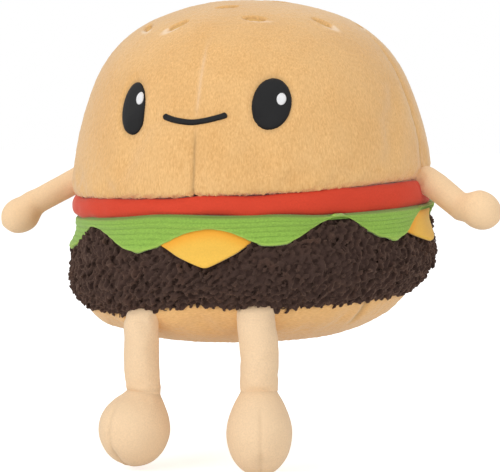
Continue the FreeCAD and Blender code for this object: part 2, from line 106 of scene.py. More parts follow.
class BurgerSizes(bpy.types.PropertyGroup):
    """Sizes that shape the soft pieces round the frame."""

    bun_pile: length("Bun pile", 0.5 * MM, "Height of the clumps in the bun's pile")
    bun_pillow: length("Bun pillow", 1.2 * MM, "How far the stuffing pushes the bun out between its darts")
    dart_depth: length("Dart depth", 1.5 * MM, "Depth of the groove along each dart")
    curl_size: length("Curl size", 1.25 * MM, "Radius of one curl of the patty's sherpa")
    curl_thread: length("Curl thickness", 1.35 * MM, "Radius of the lock of wool in a curl")
    wale: length("Wale", 2.8 * MM, "Width of one rib of the lettuce")
    wale_height: length("Wale height", 0.6 * MM, "Height of one rib of the lettuce")
    lettuce_thickness: length("Lettuce thickness", 2.0 * MM, "Thickness of the ribbed cloth")
    cheese_thickness: length("Cheese thickness", 1.5 * MM, "Thickness of the felt")
    arm_diameter: length("Arm diameter", 15.6 * MM, "Diameter of an arm between shoulder and wrist")
    hand_diameter: length("Hand diameter", 22.0 * MM, "Diameter of a mitten hand")
    leg_diameter: length("Leg diameter", 20.8 * MM, "Diameter of a leg tube")
    foot_width: length("Foot width", 38.5 * MM, "Width of a foot across its widest part")


class BurgerColours(bpy.types.PropertyGroup):
    """Colours of the fabrics and threads."""

    bun: colour("Bun", (233, 188, 128), "Golden plush of both buns")
    limb: colour("Arm", (246, 211, 168), "Peach cloth of the arms")
    leg: colour("Leg", (242, 210, 171), "Pale cloth of the legs and feet")
    tomato: colour("Tomato", (214, 68, 44), "Red knit of the tomato slice")
    lettuce: colour("Lettuce", (144, 185, 76), "Green ribbed cloth of the lettuce")
    cheese: colour("Cheese", (241, 191, 80), "Yellow felt of the cheese")
    patty: colour("Patty", (61, 44, 39), "Dark brown wool of the patty")
    # Painted highlight, not wear: the reddish brown laid on the tips of the patty's curls stands in for light
    # catching them.
    patty_tip_highlight: colour("Patty curl tips", (100, 66, 48), "Painted highlight on the tips of the patty's curls")
    thread: colour("Face thread", (14, 14, 16), "Thread of the eyes and the mouth")
    glint: colour("Glint thread", (240, 240, 242), "Thread of the flecks in the eyes")
    seed: colour("Seed thread", (226, 176, 102), "Thread of the sesame seeds")
    fibrefill: colour("Fibrefill", (240, 238, 232), "Stuffing inside the body and the limbs")
    floor: colour("Floor", (244, 244, 244), "Pale floor")


def sizes():
    return bpy.context.scene.burger_sizes


def colours():
    return bpy.context.scene.burger_colours


# Meshes: making, reading and moving points


def deselect():
    if bpy.context.mode != "OBJECT":
        bpy.ops.object.mode_set(mode="OBJECT")
    bpy.ops.object.select_all(action="DESELECT")


def choose(piece):
    deselect()
    piece.select_set(True)
    bpy.context.view_layer.objects.active = piece


def named(name):
    """The object that an operator has just left active, under a new name."""
    piece = bpy.context.object
    piece.name = piece.data.name = name
    return piece


def made(operator, name, **settings):
    """A new object of an operator, under its own name."""
    deselect()
    operator(**settings)
    return named(name)


def edit_all():
    """Edit mode, with everything selected."""
    bpy.ops.object.mode_set(mode="EDIT")
    bpy.ops.mesh.select_all(action="SELECT")


def leave_edit():
    bpy.ops.object.mode_set(mode="OBJECT")


def vectors(rows, name):
    """One vector for each row of a mesh's data, as an array."""
    flat = np.zeros(len(rows) * 3, np.float32)
    rows.foreach_get(name, flat)
    return flat.reshape(-1, 3).astype(float)


def points_of(piece):
    return vectors(piece.data.vertices, "co")


def normals_of(piece):
    return vectors(piece.data.vertex_normals, "vector")


def put_points(piece, points):
    piece.data.vertices.foreach_set("co", points.astype(np.float32).ravel())
    piece.data.update()


def note(piece, name, values):
    """Keeps a number or a vector for each point of a piece, for its material to read."""
    values = np.asarray(values, np.float32)
    kind, field = ("FLOAT", "value") if values.ndim == 1 else ("FLOAT_VECTOR", "vector")
    attribute = piece.data.attributes.get(name) or piece.data.attributes.new(name, kind, "POINT")
    attribute.data.foreach_set(field, values.ravel())


def apply_modifier(piece, kind, **settings):
    choose(piece)
    modifier = piece.modifiers.new(kind.title(), kind)
    for key, value in settings.items():
        setattr(modifier, key, value)
    bpy.ops.object.modifier_apply(modifier=modifier.name)


def subdivide(piece, levels):
    apply_modifier(piece, "SUBSURF", levels=levels, render_levels=levels)


def thickened(piece, thickness):
    apply_modifier(piece, "SOLIDIFY", thickness=thickness, offset=-1)
    return piece


def cleaned(piece):
    """Merges what a spin or an extrusion leaves doubled, and turns the faces outwards."""
    choose(piece)
    edit_all()
    bpy.ops.mesh.remove_doubles(threshold=0.01 * MM)
    bpy.ops.mesh.normals_make_consistent(inside=False)
    leave_edit()
    return piece


def spun(name, profile, steps):
    """A turned form: one vertex, drawn out along (radius, height) points and spun round the Z axis."""
    piece = made(bpy.ops.mesh.primitive_plane_add, name, size=MM)
    edit_all()
    bpy.ops.mesh.merge(type="CENTER")
    run = [Vector((0, -radius, height)) for radius, height in profile]
    bpy.ops.transform.translate(value=run[0])
    for here, there in zip(run, run[1:]):
        bpy.ops.mesh.extrude_vertices_move(TRANSFORM_OT_translate={"value": there - here})
    bpy.ops.mesh.select_all(action="SELECT")
    bpy.ops.mesh.spin(steps=steps, angle=2 * math.pi, center=(0, 0, 0), axis=(0, 0, 1))
    return cleaned(piece)


def tube(name, rings, sides):
    """A closed tube: a circle drawn out ring by ring, each then set to its place, an array of (sides, 3)."""
    piece = made(bpy.ops.mesh.primitive_circle_add, name, vertices=sides, radius=MM, fill_type="NGON")
    edit_all()
    for _ in rings[1:]:
        bpy.ops.mesh.extrude_region_move(TRANSFORM_OT_translate={"value": (0, 0, MM)})
    bpy.ops.mesh.select_all(action="SELECT")
    bpy.ops.mesh.quads_convert_to_tris(ngon_method="BEAUTY")
    bpy.ops.mesh.tris_convert_to_quads()
    leave_edit()
    drawn = points_of(piece)
    level = np.rint(drawn[:, 2] / MM).astype(int)
    turn = np.rint(np.arctan2(drawn[:, 1], drawn[:, 0]) / (2 * math.pi) * sides).astype(int) % sides
    put_points(piece, np.array(rings)[level, turn])
    return cleaned(piece)


def grid(name, columns, rows):
    """A flat square of faces, from -1 to 1 along X and Y."""
    cuts = {"x_subdivisions": columns, "y_subdivisions": rows}
    return made(bpy.ops.mesh.primitive_grid_add, name, size=2, **cuts)


def oval_ring(centre, across, over, half_across, half_over, sides):
    turns = np.arange(sides) * 2 * math.pi / sides
    return centre + np.outer(np.cos(turns) * half_across, across) + np.outer(np.sin(turns) * half_over, over)


# Measures of points and angles


def smooth(low, high, value):
    share = np.clip((value - low) / (high - low), 0, 1)
    return share * share * (3 - 2 * share)


def bell(value, width):
    """1 where a value is 0, fading to nothing a few widths away."""
    return np.exp(-((value / width) ** 2))


def wrapped(turn, whole=2 * math.pi):
    """An angle brought to within half a whole of 0."""
    return (turn + whole / 2) % whole - whole / 2


def quarter_of(turn):
    """An azimuth counted from the nearest of front, left, back and right."""
    return wrapped(turn, math.pi / 2)


def azimuth_of(points):
    return np.arctan2(points[:, 0], -points[:, 1])


def reach_of(points):
    """Distance from the Z axis."""
    return np.hypot(points[:, 0], points[:, 1])


def in_metres(outline):
    return [(r * MM, z * MM) for r, z in outline]


def tangent_run(points, heading, step):
    """Points a step apart along arcs through (radius, height) points, each arc tangent to the one before."""
    run = [points[0]]
    for (r0, z0), (r1, z1) in zip(points, points[1:]):
        turn = wrapped(math.atan2(z1 - z0, r1 - r0) - heading)
        span = math.hypot(r1 - r0, z1 - z0)
        straight = abs(turn) < 1e-6
        arc = span if straight else span * turn / math.sin(turn)
        count = max(1, round(arc / step))
        for k in range(1, count + 1):
            share = k / count
            part = span * share if straight else span * math.sin(turn * share) / math.sin(turn)
            way = heading + turn * share
            run.append((r0 + part * math.cos(way), z0 + part * math.sin(way)))
        heading += 2 * turn
    return run


def measured(points):
    """A run of points as an array, and the distance along it to each."""
    run = np.array(points)
    return run, np.concatenate([[0], np.cumsum(np.linalg.norm(np.diff(run, axis=0), axis=1))])


def at_distance(run, along, distance):
    return np.interp(distance, along, run[:, 0]), np.interp(distance, along, run[:, 1])


def noise_at(points, size, seed):
    """Smooth noise of about -1 to 1 at each point: a few plane waves of that size in seeded directions."""
    random = np.random.default_rng(seed)
    total = np.zeros(len(points))
    waves = 14
    for _ in range(waves):
        way = random.normal(size=3)
        way *= 2 * math.pi / size * random.uniform(0.7, 1.4) / np.linalg.norm(way)
        total += np.sin(points @ way + random.uniform(0, 2 * math.pi))
    return total / math.sqrt(waves)


# Finishing: lumps, stuffing and what a piece stands for

STUFFING_FRAMES = 20


def ruffle(piece, size, strength):
    """Raises and sinks a surface by a cloudy texture of one size."""
    texture = bpy.data.textures.new("ruffle", "CLOUDS")
    texture.noise_scale = size
    texture.noise_depth = 2
    apply_modifier(
        piece, "DISPLACE", texture=texture, strength=strength, mid_level=0.5, texture_coords="LOCAL"
    )
    bpy.data.textures.remove(texture)


def stuff(piece, sewn, pressure, most, slack=0.03):
    """Lets the stuffing push a cover out between its sewn points, no further than most."""
    before = points_of(piece)
    pins = piece.vertex_groups.new(name="sewn")
    pins.add([int(k) for k in np.flatnonzero(sewn)], 1.0, "REPLACE")
    choose(piece)
    cloth = piece.modifiers.new("Cloth", "CLOTH")
    cloth.settings.use_pressure = True
    cloth.settings.uniform_pressure_force = pressure
    cloth.settings.vertex_group_mass = pins.name
    cloth.settings.shrink_min = -slack
    cloth.settings.effector_weights.gravity = 0
    cloth.point_cache.frame_start = 1
    cloth.point_cache.frame_end = STUFFING_FRAMES
    for step in range(1, STUFFING_FRAMES + 1):
        bpy.context.scene.frame_set(step)
    bpy.ops.object.modifier_apply(modifier=cloth.name)
    bpy.context.scene.frame_set(1)
    piece.vertex_groups.clear()
    moved = points_of(piece) - before
    far = np.maximum(np.linalg.norm(moved, axis=1), 1e-9)
    put_points(piece, before + moved * np.minimum(1, most / far)[:, None])


def dress(piece, slot, material, *nodes):
    choose(piece)
    bpy.ops.object.shade_smooth()
    piece.data.materials.clear()
    piece.data.materials.append(material)
    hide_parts(*nodes)


def shown(piece, slot, material, *nodes):
    """The last step of a piece of the body."""
    dress(piece, slot, material, *nodes)
    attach(piece, "body")


# How the stuffed body has settled: the layers tilt and the stack leans, as the toy sits in its usual view

VIEW_AZIMUTH = math.radians(19)
VIEW_ELEVATION = math.radians(4)
ACROSS = Vector((math.cos(VIEW_AZIMUTH), math.sin(VIEW_AZIMUTH), 0))
LAYER_TILT = 0.047
BASE_TILT_SHARE = 0.35
CROWN_TILT_SHARE = 0.25
BASE_BAND = (-5 * MM, 24 * MM)
CROWN_BAND = (95 * MM, 190 * MM)
TOP_BAND = (190 * MM, 200 * MM)
LEAN_LEVELS = (0.0, 20 * MM, 45 * MM, 100 * MM, 200 * MM)
LEANS = (-3.0 * MM, -2.0 * MM, 1.4 * MM, 0.0, -1.0 * MM)


def settle(points, share=1.0):
    """Moves points as the stuffing has settled. share is 1 for the body and fades along the legs."""
    across = points @ np.array(ACROSS)
    height = points[:, 2]
    band = 1 - (1 - CROWN_TILT_SHARE) * smooth(*CROWN_BAND, height)
    band -= CROWN_TILT_SHARE * smooth(*TOP_BAND, height)
    band *= BASE_TILT_SHARE + (1 - BASE_TILT_SHARE) * smooth(*BASE_BAND, height)
    moved = points.copy()
    moved[:, 2] += LAYER_TILT * across * band * share
    lean = np.interp(height, LEAN_LEVELS, LEANS) * share
    return moved + lean[:, None] * np.array(ACROSS)


def from_view(points):
    """Azimuth counted from the middle of the usual view."""
    return wrapped(azimuth_of(points) - VIEW_AZIMUTH)


def front_sag(points):
    """Where the seam over the tomato sags: 1 at the toy's front, 0 at its sides and back."""
    turn = from_view(points)
    sag = 1 - smooth(math.radians(10), math.radians(50), turn)
    return sag * smooth(math.radians(-98), math.radians(-62), turn)


def middle_seam(points):
    """How far the seam under the tomato rises and falls round the toy."""
    turn = from_view(points)
    rise = 2.2 * MM * bell(turn + math.radians(28), math.radians(15))
    fall = smooth(math.radians(4), math.radians(24), turn)
    fall *= 1 - smooth(math.radians(75), math.radians(110), turn)
    return rise - 2.2 * MM * fall


def low_seam(points):
    """How far the seam under the patty rises and falls round the toy."""
    turn = from_view(points)
    rise = 4.0 * MM * bell(turn + math.radians(18), math.radians(14))
    return rise - 2.0 * MM * bell(turn + math.radians(46), math.radians(9))


def drawn_in(points):
    """Draws the sheets in under the tomato at the toy's right, where the arm pulls the seam."""
    pull = 4.0 * MM * bell(from_view(points) + math.radians(88), math.radians(24))
    pull *= smooth(58 * MM, 74 * MM, points[:, 2])
    moved = points.copy()
    moved[:, :2] *= 1 - (pull / reach_of(points))[:, None]
    return moved


# Materials


class Nodes:
    """The node tree of one fabric."""

    def __init__(self, name, roughness, sheen=0.0, sheen_roughness=0.5, tint=(1, 1, 1)):
        self.material = bpy.data.materials.new(name)
        self.material.use_nodes = True
        self.tree = self.material.node_tree
        self.shader = self.tree.nodes["Principled BSDF"]
        self.feed(self.shader, "Roughness", roughness)
        self.feed(self.shader, "Specular IOR Level", 0.25)
        self.feed(self.shader, "Sheen Weight", sheen)
        self.feed(self.shader, "Sheen Roughness", sheen_roughness)
        self.feed(self.shader, "Sheen Tint", (*tint, 1))

    def feed(self, node, socket, value):
        """Links an output to a socket, or sets the socket to a plain value."""
        if isinstance(value, bpy.types.NodeSocket):
            self.tree.links.new(value, node.inputs[socket])
        else:
            node.inputs[socket].default_value = value

    def add(self, kind, **inputs):
        node = self.tree.nodes.new(kind)
        for name, value in inputs.items():
            self.feed(node, name.replace("_", " "), value)
        return node

    def kept(self, attribute, output="Fac"):
        """What the piece keeps for each of its points under a name."""
        node = self.add("ShaderNodeAttribute")
        node.attribute_name = attribute
        return node.outputs[output]

    def place(self, scale, attribute=None):
        """Coordinates in metres, divided by a size along each axis."""
        if attribute:
            spot = self.kept(attribute, "Vector")
        else:
            spot = self.add("ShaderNodeTexCoord").outputs["Object"]
        return self.add("ShaderNodeMapping", Vector=spot, Scale=tuple(1 / s for s in scale)).outputs["Vector"]

    def noise(self, spot, detail=2.0, roughness=0.55):
        node = self.add("ShaderNodeTexNoise", Vector=spot, Scale=1.0, Detail=detail, Roughness=roughness)
        return node.outputs["Fac"]

    def grain(self, size, detail=2.0):
        """Noise of one size in every direction."""
        return self.noise(self.place((size,) * 3), detail)

    def ramp(self, factor, low, high, start=0.0, end=1.0):
        limits = {"From_Min": low, "From_Max": high, "To_Min": start, "To_Max": end}
        return self.add("ShaderNodeMapRange", Value=factor, **limits).outputs["Result"]

    def product(self, first, second):
        node = self.add("ShaderNodeMath")
        node.operation = "MULTIPLY"
        self.feed(node, 0, first)
        self.feed(node, 1, second)
        return node.outputs[0]

    def mix(self, factor, first, second, blend="MIX"):
        """A mix of two colours, which are sockets 6 and 7 of the node. Its colour is output 2."""
        node = self.add("ShaderNodeMix", Factor=factor)
        node.data_type = "RGBA"
        node.blend_type = blend
        for socket, value in ((6, first), (7, second)):
            self.feed(node, socket, value if isinstance(value, bpy.types.NodeSocket) else (*value, 1))
        return node.outputs[2]

    def marked(self, tone, attribute, most, other):
        """Turns a tone to another colour, at most by a share, where the piece is marked."""
        return self.mix(self.ramp(self.kept(attribute), 0.0, 1.0, 0.0, most), tone, other)

    def bump(self, height, strength, distance):
        node = self.add("ShaderNodeBump", Height=height, Strength=strength, Distance=distance)
        return node.outputs["Normal"]

    def done(self, base, normal):
        self.feed(self.shader, "Base Color", base)
        self.feed(self.shader, "Normal", normal)
        return self.material


def scaled(colour_value, factor):
    return tuple(min(1.0, c * factor) for c in colour_value)


def plush(name, base, fibre=(0.8 * MM, 0.8 * MM, 2.6 * MM), attribute=None):
    """Short pile: fine fibres along the nap, soft clumps, painted shade where the piece marks folds and rims,
    and a painted highlight where it marks the pile pale.
    """
    cloth = Nodes(name, roughness=0.9, sheen=0.55, sheen_roughness=0.45, tint=(1.0, 0.93, 0.82))
    fibres = cloth.noise(cloth.place(fibre, attribute), detail=3.0, roughness=0.6)
    clumps = cloth.grain(9 * MM)
    broad = cloth.grain(40 * MM, detail=1.0)
    shade = tuple(c * k for c, k in zip(base, (0.86, 0.78, 0.66)))
    tone = cloth.mix(cloth.ramp(fibres, 0.32, 0.68), shade, scaled(base, 1.10))
    tone = cloth.mix(cloth.ramp(clumps, 0.35, 0.7, 0.0, 0.35), tone, scaled(base, 0.93))
    tone = cloth.mix(cloth.ramp(broad, 0.4, 0.65, 0.0, 0.6), tone, (0.93, 0.88, 0.80), "MULTIPLY")
    # Painted highlight: paler pile where the piece marks it pale, along the front dart and below the seeds.
    tone = cloth.marked(tone, "pale", 0.75, linear(252, 226, 196))
    # Painted shade: darker where the piece marks folds, grooves and rims.
    tone = cloth.marked(tone, "crease_shade", 0.85, scaled(base, 0.42))
    return cloth.done(tone, cloth.bump(fibres, 0.35, 0.9 * MM))


def knit(name, base, sheen=0.35, tint=(1.0, 0.9, 0.85)):
    """Smooth fine cloth with the faintest nap."""
    cloth = Nodes(name, roughness=0.85, sheen=sheen, sheen_roughness=0.35, tint=tint)
    fine = cloth.grain(0.9 * MM)
    broad = cloth.grain(22 * MM)
    tone = cloth.mix(cloth.ramp(fine, 0.3, 0.7), scaled(base, 0.93), scaled(base, 1.05))
    tone = cloth.mix(cloth.ramp(broad, 0.35, 0.65, 0.0, 0.5), tone, scaled(base, 0.95))
    # Painted shade: darker where the piece marks folds and tucked-in parts.
    tone = cloth.marked(tone, "crease_shade", 0.8, scaled(base, 0.55))
    return cloth.done(tone, cloth.bump(fine, 0.25, 0.4 * MM))


def minky(name, base):
    """The cloth of the limbs: a knit with a softer, warmer sheen."""
    return knit(name, base, sheen=0.45, tint=(1, 0.94, 0.86))


def ribbed(name, base):
    """Ribbed cloth: painted shade in its grooves and under the tomato, and a paler cut edge, where the piece
    marks them.
    """
    cloth = Nodes(name, roughness=0.9, sheen=0.3, sheen_roughness=0.5, tint=(0.95, 1.0, 0.85))
    fine = cloth.noise(cloth.place((1.1 * MM, 1.1 * MM, 0.7 * MM)), detail=3.0)
    tone = cloth.mix(cloth.ramp(fine, 0.3, 0.7), scaled(base, 0.82), scaled(base, 1.14))
    # Painted shade: darker in the grooves between ribs and just under the tomato.
    tone = cloth.marked(tone, "crease_shade", 0.8, scaled(base, 0.5))
    tone = cloth.marked(tone, "edge", 0.5, linear(176, 208, 96))
    return cloth.done(tone, cloth.bump(fine, 0.5, 0.5 * MM))


def wool(name, base, tip):
    """Curly wool: a painted highlight of reddish brown in patches on the tips of the curls, painted light in
    the hollows between them, and fine dark hairs.
    """
    cloth = Nodes(name, roughness=0.95, sheen=0.25, sheen_roughness=0.6, tint=(0.8, 0.5, 0.35))
    hairs = cloth.grain(0.7 * MM, detail=3.0)
    patches = cloth.grain(14 * MM)
    raised = cloth.ramp(cloth.kept("raised"), 0.25, 1.0)
    # Painted light: the hollows between curls are made lighter than the tips, to soften the shade that falls
    # in them.
    tone = cloth.mix(raised, scaled(base, 1.1), base)
    # Painted highlight: the tip colour laid in patches on the raised curls stands in for light catching them.
    tone = cloth.mix(cloth.product(cloth.ramp(patches, 0.45, 0.75, 0.0, 0.4), raised), tone, tip)
    tone = cloth.mix(cloth.ramp(hairs, 0.3, 0.7, 0.0, 0.4), tone, scaled(base, 0.8))
    return cloth.done(tone, cloth.bump(hairs, 0.6, 0.6 * MM))


def felt(name, base):
    """Smooth felt: matted short fibres in every direction."""
    cloth = Nodes(name, roughness=0.92, sheen=0.3, sheen_roughness=0.5, tint=(1.0, 0.95, 0.8))
    fine = cloth.grain(0.9 * MM, detail=3.0)
    tone = cloth.mix(cloth.ramp(fine, 0.3, 0.7), scaled(base, 0.95), scaled(base, 1.04))
    # Painted shade: a deeper orange where the piece marks it, along the lettuce's edge.
    tone = cloth.marked(tone, "crease_shade", 0.75, linear(243, 163, 44))
    return cloth.done(tone, cloth.bump(fine, 0.25, 0.3 * MM))


def satin(name, base):
    """Satin stitch: threads laid side by side along the piece's own rows."""
    cloth = Nodes(name, roughness=0.6, sheen=0.05)
    rows = cloth.place((1.0, 1.0, 1.0), "rows")
    threads = cloth.add("ShaderNodeTexWave", Vector=rows, Scale=1.0, Distortion=1.5).outputs["Fac"]
    tone = cloth.mix(threads, scaled(base, 0.8), scaled(base, 1.15))
    return cloth.done(tone, cloth.bump(threads, 0.5, 0.25 * MM))


def fluff(name, base):
    cloth = Nodes(name, roughness=1.0, sheen=0.2)
    wisps = cloth.grain(4 * MM, detail=4.0)
    return cloth.done(cloth.mix(wisps, scaled(base, 0.9), base), cloth.bump(wisps, 0.4, 1.5 * MM))


# The top bun

CROWN_RADIUS = 54.5 * MM
CROWN_DROP = 10.5 * MM
SHOULDER_RADIUS = 92.6 * MM
SHOULDER_HEIGHT = 61.8 * MM
WIDEST_HEIGHT = 11.8 * MM
SEAM_RADIUS = 100 * MM
LIP_HEIGHT = 12 * MM
PILE_SIZE = 2.4 * MM


def bun_profile():
    """The dome from its top to its seam, as (radius, height) points."""
    top, low = BUN_HIGH.z, BUN_LOW.z
    return [
        (0, top),
        (CROWN_RADIUS, top - CROWN_DROP),
        (SHOULDER_RADIUS, low + SHOULDER_HEIGHT),
        (BUN_HIGH.x, low + WIDEST_HEIGHT),
        (SEAM_RADIUS, low),
    ]


class BURGER_OT_top_bun(bpy.types.Operator):
    """Sew the domed top bun: four darts, stuffing and pile"""

    bl_idname = "burger.top_bun"
    bl_label = "Top Bun"

    dart_top = 176 * MM
    dart_run_out = 16 * MM
    dart_line = 1.3 * MM
    dart_dip = 7 * MM
    mouth_gap = 8 * MM
    face_fade = 14 * MM
    bulge_height = 15 * MM
    bulge_band = (93 * MM, 99 * MM)
    fringe_height = 5 * MM
    fringe_reach = 99 * MM

    def execute(self, context):
        size = sizes()
        dome = tangent_run(bun_profile(), 0, 3.6 * MM)
        under = [(96 * MM, SEAM_TOP + 0.2 * MM), (70 * MM, SEAM_TOP + 0.6 * MM), (0, SEAM_TOP + 0.8 * MM)]
        bun = spun("top_bun_plush", dome + under, 128)
        points = points_of(bun)
        aside = np.abs(quarter_of(azimuth_of(points))) * reach_of(points)
        sewn = (aside < 0.3 * MM) & (points[:, 2] < self.dart_top)
        sewn |= points[:, 2] < SEAM_TOP + 2 * MM
        stuff(bun, sewn, pressure=4.0, most=size.bun_pillow)
        subdivide(bun, 2)
        self.press(bun, size)
        put_points(bun, settle(self.hung_lip(points_of(bun))))
        keep_smooth(bun)
        self.raise_pile(bun, size)
        shown(bun, "bun_plush", plush("bun_plush", colours().bun), "top_bun")
        return {"FINISHED"}

    def press(self, bun, size):
        """Draws the surface in along the darts and round the embroidery. Marks painted shade along the darts
        and round the eyes and seeds, and a painted highlight along the front dart above the mouth and on the
        pile below each seed.
        """
        points, normals = points_of(bun), normals_of(bun)
        turn, height = azimuth_of(points), points[:, 2]
        turn -= DART_TURN * bell(turn, 0.5)
        aside = np.abs(quarter_of(turn)) * reach_of(points)
        facing = np.abs(turn) < math.pi / 4
        along = 1 - smooth(self.dart_top - self.dart_run_out, self.dart_top, height)
        along *= smooth(SEAM_TOP - 1 * MM, SEAM_TOP + 1 * MM, height)
        along *= 1 - facing * bell(height - MOUTH_HEIGHT + MOUTH_SAG, self.mouth_gap)
        front = facing * smooth(MOUTH_HEIGHT - self.face_fade, MOUTH_HEIGHT, height)
        groove = 0.6 * (1 - 0.3 * front) * bell(aside, self.dart_line) + 0.5 * bell(aside, self.dart_dip)
        inward = size.dart_depth * groove * along
        # Painted shade: a dark line down each dart, faint on the front above the mouth.
        crease_shade = 0.7 * (1 - 0.9 * front) * bell(aside, 0.9 * MM) * along
        # Painted highlight: a pale line along the front dart above the mouth.
        pale = 0.4 * front * along * bell(aside, 1.0 * MM)
        for spot, half_across, half_up, depth, rim, lip in embroidered_spots():
            place = spot_coordinates(points, spot) / np.array([half_across, half_up])[:, None]
            away = np.hypot(*place)
            outside = normals @ np.array(spot.col[2].xyz) > 0
            below = spot.translation.z - height
            inward += outside * depth * (1 - smooth(0.9, 1.45, away))
            # Painted shade: a dark ring round each eye and seed, where the stitching draws the pile in.
            crease_shade += outside * rim * bell(away - 1.02, 0.12)
            # Painted highlight: paler pile just below each seed.
            pale += lip * outside * smooth(0.3 * MM, 1.2 * MM, below) * bell(away - 1.5, 0.45)
        put_points(bun, points - normals * inward[:, None])
        note(bun, "crease_shade", np.clip(crease_shade, 0, 1))
        note(bun, "pale", np.clip(pale, 0, 1))

    def hung_lip(self, points):
        """Lets the lower edge bulge over the tomato, deepest at the toy's front."""
        reach = reach_of(points)
        deep = front_sag(points)
        lip = 1 - smooth(0, self.bulge_height, points[:, 2] - SEAM_TOP)
        lip *= smooth(*self.bulge_band, reach)
        moved = points.copy()
        moved[:, 2] += (0.6 * MM - 1.4 * MM * deep) * lip
        moved[:, :2] *= 1 + ((3.2 * MM + 1.8 * MM * deep) * lip**2 / np.maximum(reach, MM))[:, None]
        return moved

    def raise_pile(self, bun, size):
        """Clumps of pile all over, and a ragged fringe where the pile hangs over the seam."""
        ruffle(bun, PILE_SIZE, size.bun_pile)
        points = points_of(bun)
        seam = points.copy()
        seam[:, 2] = SEAM_TOP
        fringe = 1 - smooth(0, self.fringe_height, points[:, 2] - settle(seam)[:, 2])
        fringe *= reach_of(points) > self.fringe_reach
        hang = fringe * (0.6 * MM + 0.45 * MM * noise_at(points, 3.0 * MM, seed=5))
        points[:, 2] -= hang
        points[:, :2] *= 1 + (hang * 0.6 / np.maximum(reach_of(points), MM))[:, None]
        put_points(bun, points)


# Embroidery on the top bun

EYE_TURNS = {1: math.radians(26), -1: math.radians(-23.7)}
EYE_HEIGHT = BUN_LOW.z + 48.6 * MM
EYE_HALVES = {1: (11.0 * MM, 15.2 * MM), -1: (8.9 * MM, 15.0 * MM)}
EYE_LEANS = {1: math.radians(-12), -1: math.radians(10)}
GLINT_HALF = (2.8 * MM, 3.8 * MM)
GLINT_PLACES = {1: (4.7 * MM, 3.2 * MM), -1: (5.3 * MM, 4.2 * MM)}
MOUTH_TURN = math.radians(0.6)
DART_TURN = math.radians(1.3)
MOUTH_HEIGHT = BUN_LOW.z + 44.5 * MM
MOUTH_HALF = 18.5 * MM
MOUTH_SAG = 4.5 * MM
MOUTH_LINE = 1.7 * MM
MOUTH_DENT = 3.4 * MM
THREAD_LEAN = 0.35
WAVES_PER_UNIT = 3.2
DROP_HEIGHT = 20 * MM
SEED_HALF = (5.6 * MM, 2.3 * MM)
# Distance of each seed from the axis in millimetres, its azimuth and its lean in degrees
SEED_PLACES = (
    (61.0, 21.7, -12), (41.1, 0.7, 10), (65.3, 59.0, -55), (66.2, -19.3, 53), (66.6, -43.3, -30),
    (24.6, 71.3, -20), (46.0, 128.0, 30), (30.0, -62.0, 40), (66.0, 97.0, 15), (64.0, 157.0, -40),
    (48.0, -128.0, -15), (64.0, -82.0, 35), (66.0, -163.0, 10), (26.0, 178.0, -30),
)
smooth_bun = {}


def surface_of(piece):
    points = [Vector(p) for p in points_of(piece)]
    return BVHTree.FromPolygons(points, [tuple(face.vertices) for face in piece.data.polygons])


def keep_smooth(bun):
    """Keeps the bun's surface before its pile, which the embroidery lies on."""
    smooth_bun["surface"] = surface_of(bun)


def bun_point(radius=None, height=None):
    """The point of the bun's outline at a radius or a height, over its lower edge, and the outward normal."""
    run = tangent_run(bun_profile(), 0, 0.5 * MM)
    column, wanted = (0, radius) if radius is not None else (1, height)
    edge = SEAM_TOP + LIP_HEIGHT
    k = min(range(1, len(run) - 1), key=lambda i: abs(run[i][column] - wanted) + (run[i][1] < edge))
    normal = Vector((run[k - 1][1] - run[k + 1][1], run[k + 1][0] - run[k - 1][0]))
    return run[k], normal.normalized()


def spot_on_bun(turn, lean, radius=None, height=None):
    """A frame on the bun: X across to the toy's left, Y up and Z outwards."""
    (reach, level), (out, up) = bun_point(radius, height)
    outward = Vector((out * math.sin(turn), -out * math.cos(turn), up))
    across = Vector((math.cos(turn), math.sin(turn), 0))
    axes = Matrix((across, outward.cross(across), outward)).transposed().to_4x4()
    place = Matrix.Translation((reach * math.sin(turn), -reach * math.cos(turn), level))
    return place @ axes @ Matrix.Rotation(lean, 4, "Z")


def into_frame(points, spot):
    """Points in a spot's own frame."""
    local = np.array(spot.inverted())
    return points @ local[:3, :3].T + local[:3, 3]


def spot_coordinates(points, spot):
    """Points as (across, up) in a spot's own frame."""
    return into_frame(points, spot)[:, :2].T


def eye_spot(side):
    return spot_on_bun(EYE_TURNS[side], EYE_LEANS[side], height=EYE_HEIGHT)


def mouth_spot():
    return spot_on_bun(MOUTH_TURN, 0, height=MOUTH_HEIGHT - MOUTH_SAG / 2)


def seed_spots():
    for radius, turn, lean in SEED_PLACES:
        yield spot_on_bun(math.radians(turn), math.radians(lean), radius=radius * MM)


def embroidered_spots():
    """Where stitching draws the bun in: a frame, two half sizes, a depth, the share of painted shade round
    its rim and the share of painted highlight on the pile below it.
    """
    for _, side in SIDES:
        yield eye_spot(side), *EYE_HALVES[side], 1.3 * MM, 0.4, 0.0
    yield mouth_spot(), MOUTH_HALF, MOUTH_DENT, 0.7 * MM, 0.0, 0.0
    for spot in seed_spots():
        yield spot, *SEED_HALF, 2.0 * MM, 0.5, 1.0


def laid_on_bun(piece, spot, lift):
    """Drops a flat piece, drawn in a spot's own frame, on the bun. lift is each point's height over it."""
    laid = []
    for (x, y, _), rise in zip(points_of(piece), lift):
        start = Vector((x, y, 0))
        above = spot @ (start + Vector((0, 0, DROP_HEIGHT)))
        ray, aim = (Vector(p) for p in settle(np.array([above, spot @ start])))
        hit, normal, _, _ = smooth_bun["surface"].ray_cast(ray, (aim - ray).normalized())
        laid.append(hit + normal * rise if hit else aim)
    put_points(piece, np.array(laid))


